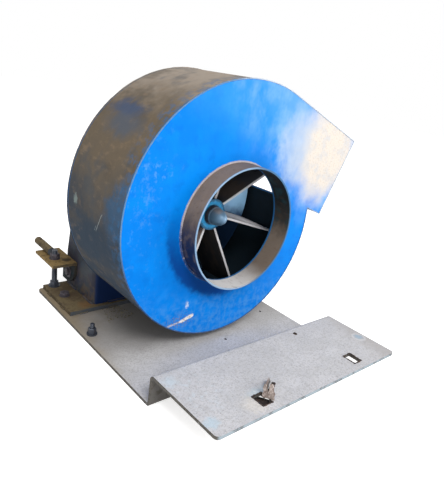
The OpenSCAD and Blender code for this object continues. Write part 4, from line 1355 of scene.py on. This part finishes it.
@dataclass(frozen=True)
class Curl:
    """A torn strip of sheet that stands on its root and curls.

    Attributes:
        name: Name of the piece.
        finish: Its finish.
        start: Middle of its root.
        run: The way its width goes.
        rise: The way it starts out.
        lengths: Length of each part along it.
        turns: Turn after each part, in degrees about `run`.
        width: Width at the root.
        ragged: How far its sides wander.
        shift: Moves the wandering, so that two strips differ.
        taper: Share of its width that it loses toward its end.
        thick: Thickness of the sheet.
    """

    name: str
    finish: Finish
    start: Point
    run: Point
    rise: Point
    lengths: Sequence[float]
    turns: Sequence[float]
    width: float
    ragged: float
    shift: float
    taper: float
    thick: float = 1.0

    def mesh(self) -> bpy.types.Mesh:
        """Makes the strip as one closed mesh.

        Returns:
            The mesh.
        """
        rows = self._rows()
        faces = [(4 * i + j, 4 * i + (j + 1) % 4, 4 * i + 4 + (j + 1) % 4, 4 * i + 4 + j)
                 for i in range(len(rows) - 1) for j in range(4)]
        last = 4 * (len(rows) - 1)
        faces += [(3, 2, 1, 0), (last, last + 1, last + 2, last + 3)]
        mesh = bpy.data.meshes.new("strip")
        mesh.from_pydata([corner * MM for row in rows for corner in row], [], faces)
        work = bmesh.new()
        work.from_mesh(mesh)
        bmesh.ops.recalc_face_normals(work, faces=work.faces)
        work.to_mesh(mesh)
        work.free()
        return mesh

    def _rows(self) -> list[list[Vector]]:
        """Returns the four corners of the strip's section after each part, the root's first."""
        across = Vector(self.run).normalized()
        way = Vector(self.rise).normalized()
        place = Vector(self.start)
        rows = []
        for i, (length, turn) in enumerate(zip([0.0, *self.lengths], [0.0, *self.turns])):
            place = place + way * length
            way = Matrix.Rotation(math.radians(turn), 3, across) @ way
            out = across.cross(way) * self.thick / 2
            half = self.width / 2 * (1 - self.taper * (i / len(self.lengths)) ** TAPER_CURVE)
            at = i * NOISE_STEP + self.shift
            left = across * (self.ragged * noise.noise((at, LEFT_ROW, 0.0)) - half)
            right = across * (self.ragged * noise.noise((at, RIGHT_ROW, 0.0)) + half)
            rows.append([place + left - out, place + right - out, place + right + out, place + left + out])
        return rows


@dataclass(frozen=True)
class Bead:
    """The shape of a bead: a bar with ripples across it, whose radius wanders a little.

    Attributes:
        radius: Radius of the bar.
        pitch: Length of one ripple.
        depth: Depth of the ripples.
        step: Distance between rings of points.
        waver: How much the radius wanders.
        sides: Number of sides of the bar.
    """

    radius: float
    pitch: float = 2.4
    depth: float = 0.12
    step: float = 0.8
    waver: float = 0.8
    sides: int = 8


@dataclass
class Welder:
    """Lays beads along paths."""

    shop: Shop
    tree: bpy.types.NodeTree

    def lay(self, name: str, paths: Sequence[Sequence[Point]], bead: Bead, finish: Finish, slot: str,
            seed: float = 1.0, body: Body = Body.FRAME, closed: bool = False,
            replaces: Sequence[str] = ()) -> bpy.types.Object:
        """Lays a bead.

        Args:
            name: Name of the piece.
            paths: The paths, in millimetres.
            bead: The bead's shape.
            finish: The bead's finish.
            slot: The record's material slot.
            seed: Picks the wandering.
            body: The body it rides on.
            closed: Whether each path ends where it starts.
            replaces: The nodes that the piece stands for.

        Returns:
            The bead.
        """
        mesh = self.shop.grown(path_mesh(paths, closed), self.tree, finish, {
            "Radius": bead.radius * MM, "Pitch": bead.pitch * MM, "Depth": bead.depth * MM,
            "Step": bead.step * MM, "Waver": bead.waver * MM, "Seed": seed, "Sides": bead.sides})
        return self.shop.piece(name, mesh, finish, body, slot, replaces)


@dataclass
class Casing:
    """Seams and welds of the scroll casing and its collar."""

    welder: Welder
    front_y: float = 0.0
    back_y: float = 135.0
    collar_r: float = 80.6
    collar_y: float = -0.2
    front_seam: Bead = Bead(0.8, pitch=9.0, depth=0.08, step=1.5, waver=0.9)
    back_seam: Bead = Bead(0.8, step=1.2)
    collar_bead: Bead = Bead(1.5, pitch=2.8, depth=0.18, step=0.7, waver=0.9)
    plate_bead: Bead = Bead(2.2)
    plate_stitch: tuple[float, float] = (26, 34)

    def build(self) -> None:
        """Builds them."""
        slot = "weathered_casing_paint"
        front = outlines("front_plate", Axis.FRONT.value, -self.front_y)[0]
        self.welder.lay("front_rim_seam", [front], self.front_seam, RIM_EDGE, "casing_paint", closed=True)
        back = outlines("back_plate", Axis.BACK.value, self.back_y)[0]
        self.welder.lay("rear_seam", [back], self.back_seam, DUST_AND_SHADE_ENAMEL, slot, seed=2, closed=True)
        collar = ring(self.collar_r, self.collar_y)
        self.welder.lay("collar_weld", [collar], self.collar_bead, COLLAR_WELD, slot, seed=3, closed=True)
        plate = outlines("mounting_plate", Axis.FRONT.value, -self.back_y)[0]
        self.welder.lay("mounting_plate_welds", stitches(plate, *self.plate_stitch), self.plate_bead,
                        WELD_STEEL, slot, seed=4)


@dataclass
class Impeller:
    """Welds that hold the blades to the back disc and the hub, and the lip of the nose cap."""

    welder: Welder
    blades: int = 8
    first_angle: float = -17.0
    half_blade: float = 1.5
    disc_y: float = 118.0
    disc_reach: tuple[float, float] = (25.0, 133.0)
    disc_bead: Bead = Bead(1.2, step=1.2)
    hub_r: float = 21.5
    hub_reach: tuple[float, float] = (47.0, 116.0)
    hub_bead: Bead = Bead(1.2, step=1.0)
    lip_r: float = 12.0
    lip_y: float = 33.0
    lip_points: int = 48
    lip_bead: Bead = Bead(0.75, depth=0.0, step=1.2, waver=0.25)

    def build(self) -> None:
        """Builds them."""
        slot = "impeller_paint"
        along_disc = []
        along_hub = []
        for i in range(self.blades):
            disc_paths, hub_paths = self._blade(math.radians(self.first_angle + 360 / self.blades * i))
            along_disc += disc_paths
            along_hub += hub_paths
        self.welder.lay("blade_disc_welds", along_disc, self.disc_bead, WELD_STEEL, slot, seed=5,
                        body=Body.ROTOR)
        lip = ring(self.lip_r, self.lip_y, self.lip_points)
        self.welder.lay("cap_lip", [lip], self.lip_bead, CAP_ENAMEL, "cap_paint", seed=12,
                        body=Body.ROTOR, closed=True)
        self.welder.lay("blade_hub_welds", along_hub, self.hub_bead, WELD_STEEL, slot, seed=6,
                        body=Body.ROTOR)

    def _blade(self, angle: float) -> tuple[list[list[Point]], list[list[Point]]]:
        """Returns the paths along both sides of a blade, on the back disc and on the hub."""
        out = Vector((math.cos(angle), 0, math.sin(angle)))
        side = Vector((-math.sin(angle), 0, math.cos(angle)))
        along = Vector(Axis.BACK.value)
        disc_paths = []
        hub_paths = []
        for sign in (-1, 1):
            shift = side * sign * self.half_blade + Vector((0, 0, SHAFT_Z))
            disc_paths.append([tuple(out * r + shift + along * self.disc_y) for r in self.disc_reach])
            root = out * math.sqrt(self.hub_r ** 2 - self.half_blade ** 2) + shift
            hub_paths.append([tuple(root + along * y) for y in self.hub_reach])
        return disc_paths, hub_paths


@dataclass
class ShaftLine:
    """Seal lips of the bearings."""

    welder: Welder
    lip_from_centre: float = 16.4
    lip_r: float = 17.5
    lip_points: int = 64
    lip_bead: Bead = Bead(1.1, depth=0.0, step=1.5, waver=0.05)

    def build(self) -> None:
        """Builds them."""
        rings = [ring(self.lip_r, y + side * self.lip_from_centre, self.lip_points)
                 for y in BEARING_Y for side in (-1, 1)]
        self.welder.lay("bearing_seal_lips", rings, self.lip_bead, RUBBER, "felt", seed=10, closed=True)


@dataclass
class Pedestal:
    """Welds of the bearing pedestal and its foot plate."""

    welder: Welder
    foot_z: float = 10.0
    top_z: float = 125.5
    foot_plate_z: float = 4.0
    foot_bead: Bead = Bead(1.9)
    foot_stitch: tuple[float, float] = (30, 22)
    top_bead: Bead = Bead(1.4)
    top_stitch: tuple[float, float] = (24, 30)
    plate_bead: Bead = Bead(1.5)
    plate_stitch: tuple[float, float] = (14, 32)

    def build(self) -> None:
        """Builds them."""
        foot = outlines("pedestal_shell", Axis.DOWN.value, -self.foot_z)[0]
        self.welder.lay("pedestal_foot_welds", stitches(foot, *self.foot_stitch), self.foot_bead,
                        PEDESTAL_ENAMEL, "pedestal_paint", seed=7)
        top = outlines("pedestal_top", Axis.DOWN.value, -self.top_z)[0]
        self.welder.lay("pedestal_top_welds", stitches(top, *self.top_stitch), self.top_bead,
                        PEDESTAL_ENAMEL, "pedestal_paint", seed=8)
        plate = outlines("foot_plate", Axis.DOWN.value, -self.foot_plate_z)[0]
        self.welder.lay("foot_plate_welds", stitches(plate, *self.plate_stitch), self.plate_bead,
                        RUSTED_PAINT, "rusty_steel", seed=9)


@dataclass
class Base:
    """Torn edges, the torn lug and the dirt of the bent base plate."""

    shop: Shop
    welder: Welder
    raised_z: float = 41.7
    edge_bead: Bead = Bead(0.8, pitch=5.0, depth=0.2, step=0.7, waver=1.8, sides=6)
    tear: Point = (-76.8, -174.0, 41.7)
    tear_turn: float = 33.0
    dirt_z: float = 4.2
    dirt_corners: tuple[Point, ...] = ((-112.0, 96.0), (-66.0, 102.0), (-78.0, 136.0), (-104.0, 136.0))
    crumbs_in_square_metre: float = 90000.0
    crumb_r: tuple[float, float] = (0.3, 1.1)
    crumb_seed: int = 4

    def build(self) -> None:
        """Builds them."""
        slot = "galvanised_steel"
        edges = outlines("raised_plate", Axis.UP.value, self.raised_z)[1:]
        self.welder.lay("torn_edges", edges, self.edge_bead, TORN_INSIDE, slot, seed=11, closed=True)
        for curl in self._curls():
            self.shop.piece(curl.name, curl.mesh(), curl.finish, Body.FRAME, slot)
        self.shop.piece("dirt_crumbs", self._crumbs(), DRY_DIRT, Body.FRAME, slot)

    def _curls(self) -> tuple[Curl, ...]:
        """Returns two strips that curl up beside the tear, and a dark one bent below it."""
        turn = Matrix.Rotation(math.radians(self.tear_turn), 3, "Z")
        along = turn @ Vector(Axis.BACK.value)
        beside = turn @ Vector(Axis.RIGHT.value)
        up = Vector(Axis.UP.value)
        tear = Vector(self.tear)
        return (
            Curl("torn_lug_front", BARE_EDGE, tear - along * 2 + beside * 3.6, along, up + along * 0.15,
                 (3.6, 3.6, 3.4, 3.2, 3), (4, 6, 8, 12, 16), width=7.0, ragged=1.6, shift=0.0, taper=0.55),
            Curl("torn_lug_rear", BARE_EDGE, tear + along * 4 + beside * 3.8, along,
                 up + along * 0.2 + beside * 0.1, (3.6, 3.6, 3.4, 3.2, 2.8), (-3, -4, -6, -8, -10),
                 width=7.0, ragged=1.4, shift=4.0, taper=0.55),
            Curl("torn_hollow", TORN_INSIDE, tear + along * 16 - beside * 8 - up * 4.8, along,
                 beside - up * 0.12, (5, 5, 5, 4, 3), (2, 2, 3, 3, 3), width=40.0, ragged=0.6, shift=9.0,
                 taper=0.1),
        )

    def _crumbs(self) -> bpy.types.Mesh:
        """Returns dry crumbs, scattered where the foot plate ends."""
        patch = bpy.data.meshes.new("patch")
        patch.from_pydata([Vector((x, y, self.dirt_z)) * MM for x, y in self.dirt_corners], [],
                          [(0, 1, 2, 3)])
        smallest, largest = self.crumb_r
        return self.shop.grown(patch, crumb_tree(), DRY_DIRT, {
            "Density": self.crumbs_in_square_metre, "Smallest": smallest * MM, "Largest": largest * MM,
            "Seed": self.crumb_seed})


@dataclass(frozen=True)
class Hexagon:
    """Sizes of a hexagon head or nut with its washer, and the radius of its shank."""

    corner: float
    height: float
    washer: float
    washer_height: float
    shank: float


@dataclass(frozen=True)
class HexSet:
    """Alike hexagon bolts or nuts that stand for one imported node.

    Attributes:
        node: The node's name.
        places: Where each washer or head is seated.
        aim: The way the heads look.
        size: Sizes of the head or nut.
        under: How far the shank reaches below the seat.
        body: The body that they ride on.
        finish: Their finish.
        packed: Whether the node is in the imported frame.
        turned: Places of more of them, which look down.
    """

    node: str
    places: tuple[Point, ...]
    aim: Axis
    size: Hexagon
    under: float = 0.0
    body: Body = Body.FRAME
    finish: Finish = DULL_FASTENER
    packed: bool = True
    turned: tuple[Point, ...] = ()


@dataclass(frozen=True)
class StudSet:
    """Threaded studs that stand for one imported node, each given as x, y, its foot and its top."""

    node: str
    radius: float
    studs: tuple[Point, ...]


M8_HEAD = Hexagon(7.2, 4.3, 8.4, 1.0, 4.0)
HEXAGONS = (
    HexSet("casing_bolts", tuple((x, 132.5, z) for x in (-75.6, 75.6) for z in (94.4, 240.6)),
           Axis.FRONT, M8_HEAD, 11.2),
    HexSet("mounting_bolts", tuple((x, 149, 102.75) for x in (-55.8, -27, 27, 55.8)),
           Axis.BACK, M8_HEAD, 13.7),
    HexSet("foot_bolts", ((-137, 188.4, 10), (125, 156.4, 10), (125, 214.6, 10)),
           Axis.UP, Hexagon(7.2, 5.2, 7.6, 0.5, 4.0), 9.6),
    HexSet("bearing_bolts", tuple((x, y, 147.5) for x in (-52.5, 52.5) for y in BEARING_Y),
           Axis.UP, Hexagon(9.2, 5.4, 10.0, 1.0, 5.0), 31.5),
    HexSet("bearing_nuts", tuple((x, y, 125.5) for x in (-52.5, 52.5) for y in BEARING_Y),
           Axis.DOWN, Hexagon(9.2, 7.0, 10.0, 1.0, 5.2)),
    HexSet("base_stud_nuts", ((-146, 81, 4), (131, 81, 4)),
           Axis.UP, Hexagon(5.5, 8.0, 7.0, 2.0, 3.2), finish=BRIGHT_FASTENER),
    HexSet("stud_foot_nut", ((-137, 226, 10),),
           Axis.UP, Hexagon(7.0, 6.4, 8.7, 1.6, 4.2), finish=BRIGHT_FASTENER),
    HexSet("jack_nuts", ((-137, 226, 55),),
           Axis.UP, Hexagon(7.2, 7.2, 8.0, 0.8, 4.2), body=Body.BRACKET, turned=((-137, 226, 51),)),
    HexSet("guide_bolt", ((-108.7, 218, 34),),
           Axis.RIGHT, Hexagon(7.2, 4.3, 8.2, 1.0, 4.0), 9.6, body=Body.BRACKET),
    HexSet("guide_nut", ((-118.3, 218, 34),),
           Axis.LEFT, Hexagon(6.2, 3.2, 9.5, 1.2, 3.6), body=Body.BRACKET, packed=False),
    HexSet("seal_screws", tuple(ring(48, 138, 6)),
           Axis.BACK, Hexagon(5.5, 3.4, 5.9, 0.6, 3.0), 5.5),
)
STUDS = (
    StudSet("jack_stud", 4.0, ((-137, 226, 4, 68.2),)),
    StudSet("base_studs", 3.0, ((-146, 81, 4, 20), (131, 81, 4, 20))),
)


@dataclass
class Fasteners:
    """Chamfered, washered bolts and nuts, and threaded studs."""

    shop: Shop
    welder: Welder
    slot: str = "fastener_steel"
    first_seed: int = 3
    shank_out: float = -1.0
    thread_pitch: float = 1.25
    thread_depth: float = 0.28
    thread_end: float = 0.7
    steps_in_pitch: int = 6

    def build(self) -> None:
        """Builds them. A shank ends inside its head, so it reaches out of it by less than nothing."""
        tree = hexagon_tree()
        for seed, kind in enumerate(HEXAGONS, self.first_seed):
            places = [(place, kind.aim.value) for place in kind.places]
            places += [(place, Axis.DOWN.value) for place in kind.turned]
            size = kind.size
            mesh = self.shop.grown(aimed_points(places), tree, kind.finish, {
                "Corner": size.corner * MM, "Height": size.height * MM, "Washer": size.washer * MM,
                "Washer height": size.washer_height * MM, "Shank": size.shank * MM,
                "Out": self.shank_out * MM, "Under": kind.under * MM, "Seed": seed})
            self.shop.piece(f"{kind.node}_made", mesh, kind.finish, kind.body, self.slot,
                            [kind.node] if kind.packed else ())
        for studs in STUDS:
            self._thread(studs)

    def _thread(self, kind: StudSet) -> None:
        """Cuts threads on upright studs."""
        paths = [[(x, y, foot), (x, y, top - self.thread_end), (x, y, top)] for x, y, foot, top in kind.studs]
        thread = Bead(kind.radius - self.thread_depth, self.thread_pitch, self.thread_depth,
                      step=self.thread_pitch / self.steps_in_pitch, waver=0.0, sides=SHANK_SIDES)
        self.welder.lay(f"{kind.node}_threaded", paths, thread, BRIGHT_FASTENER, self.slot,
                        replaces=[kind.node])


def main() -> None:
    """Builds the scene's parts in order."""
    logging.basicConfig(level=logging.INFO, format="%(message)s")
    scene = bpy.context.scene
    scene.view_settings.view_transform = "Standard"
    Studio().build()
    dress_nodes()
    shop = Shop()
    welder = Welder(shop, bead_tree())
    for assembly in (Casing(welder), Impeller(welder), ShaftLine(welder), Pedestal(welder),
                     Base(shop, welder), Fasteners(shop, welder)):
        assembly.build()


if __name__ == "__main__":
    main()
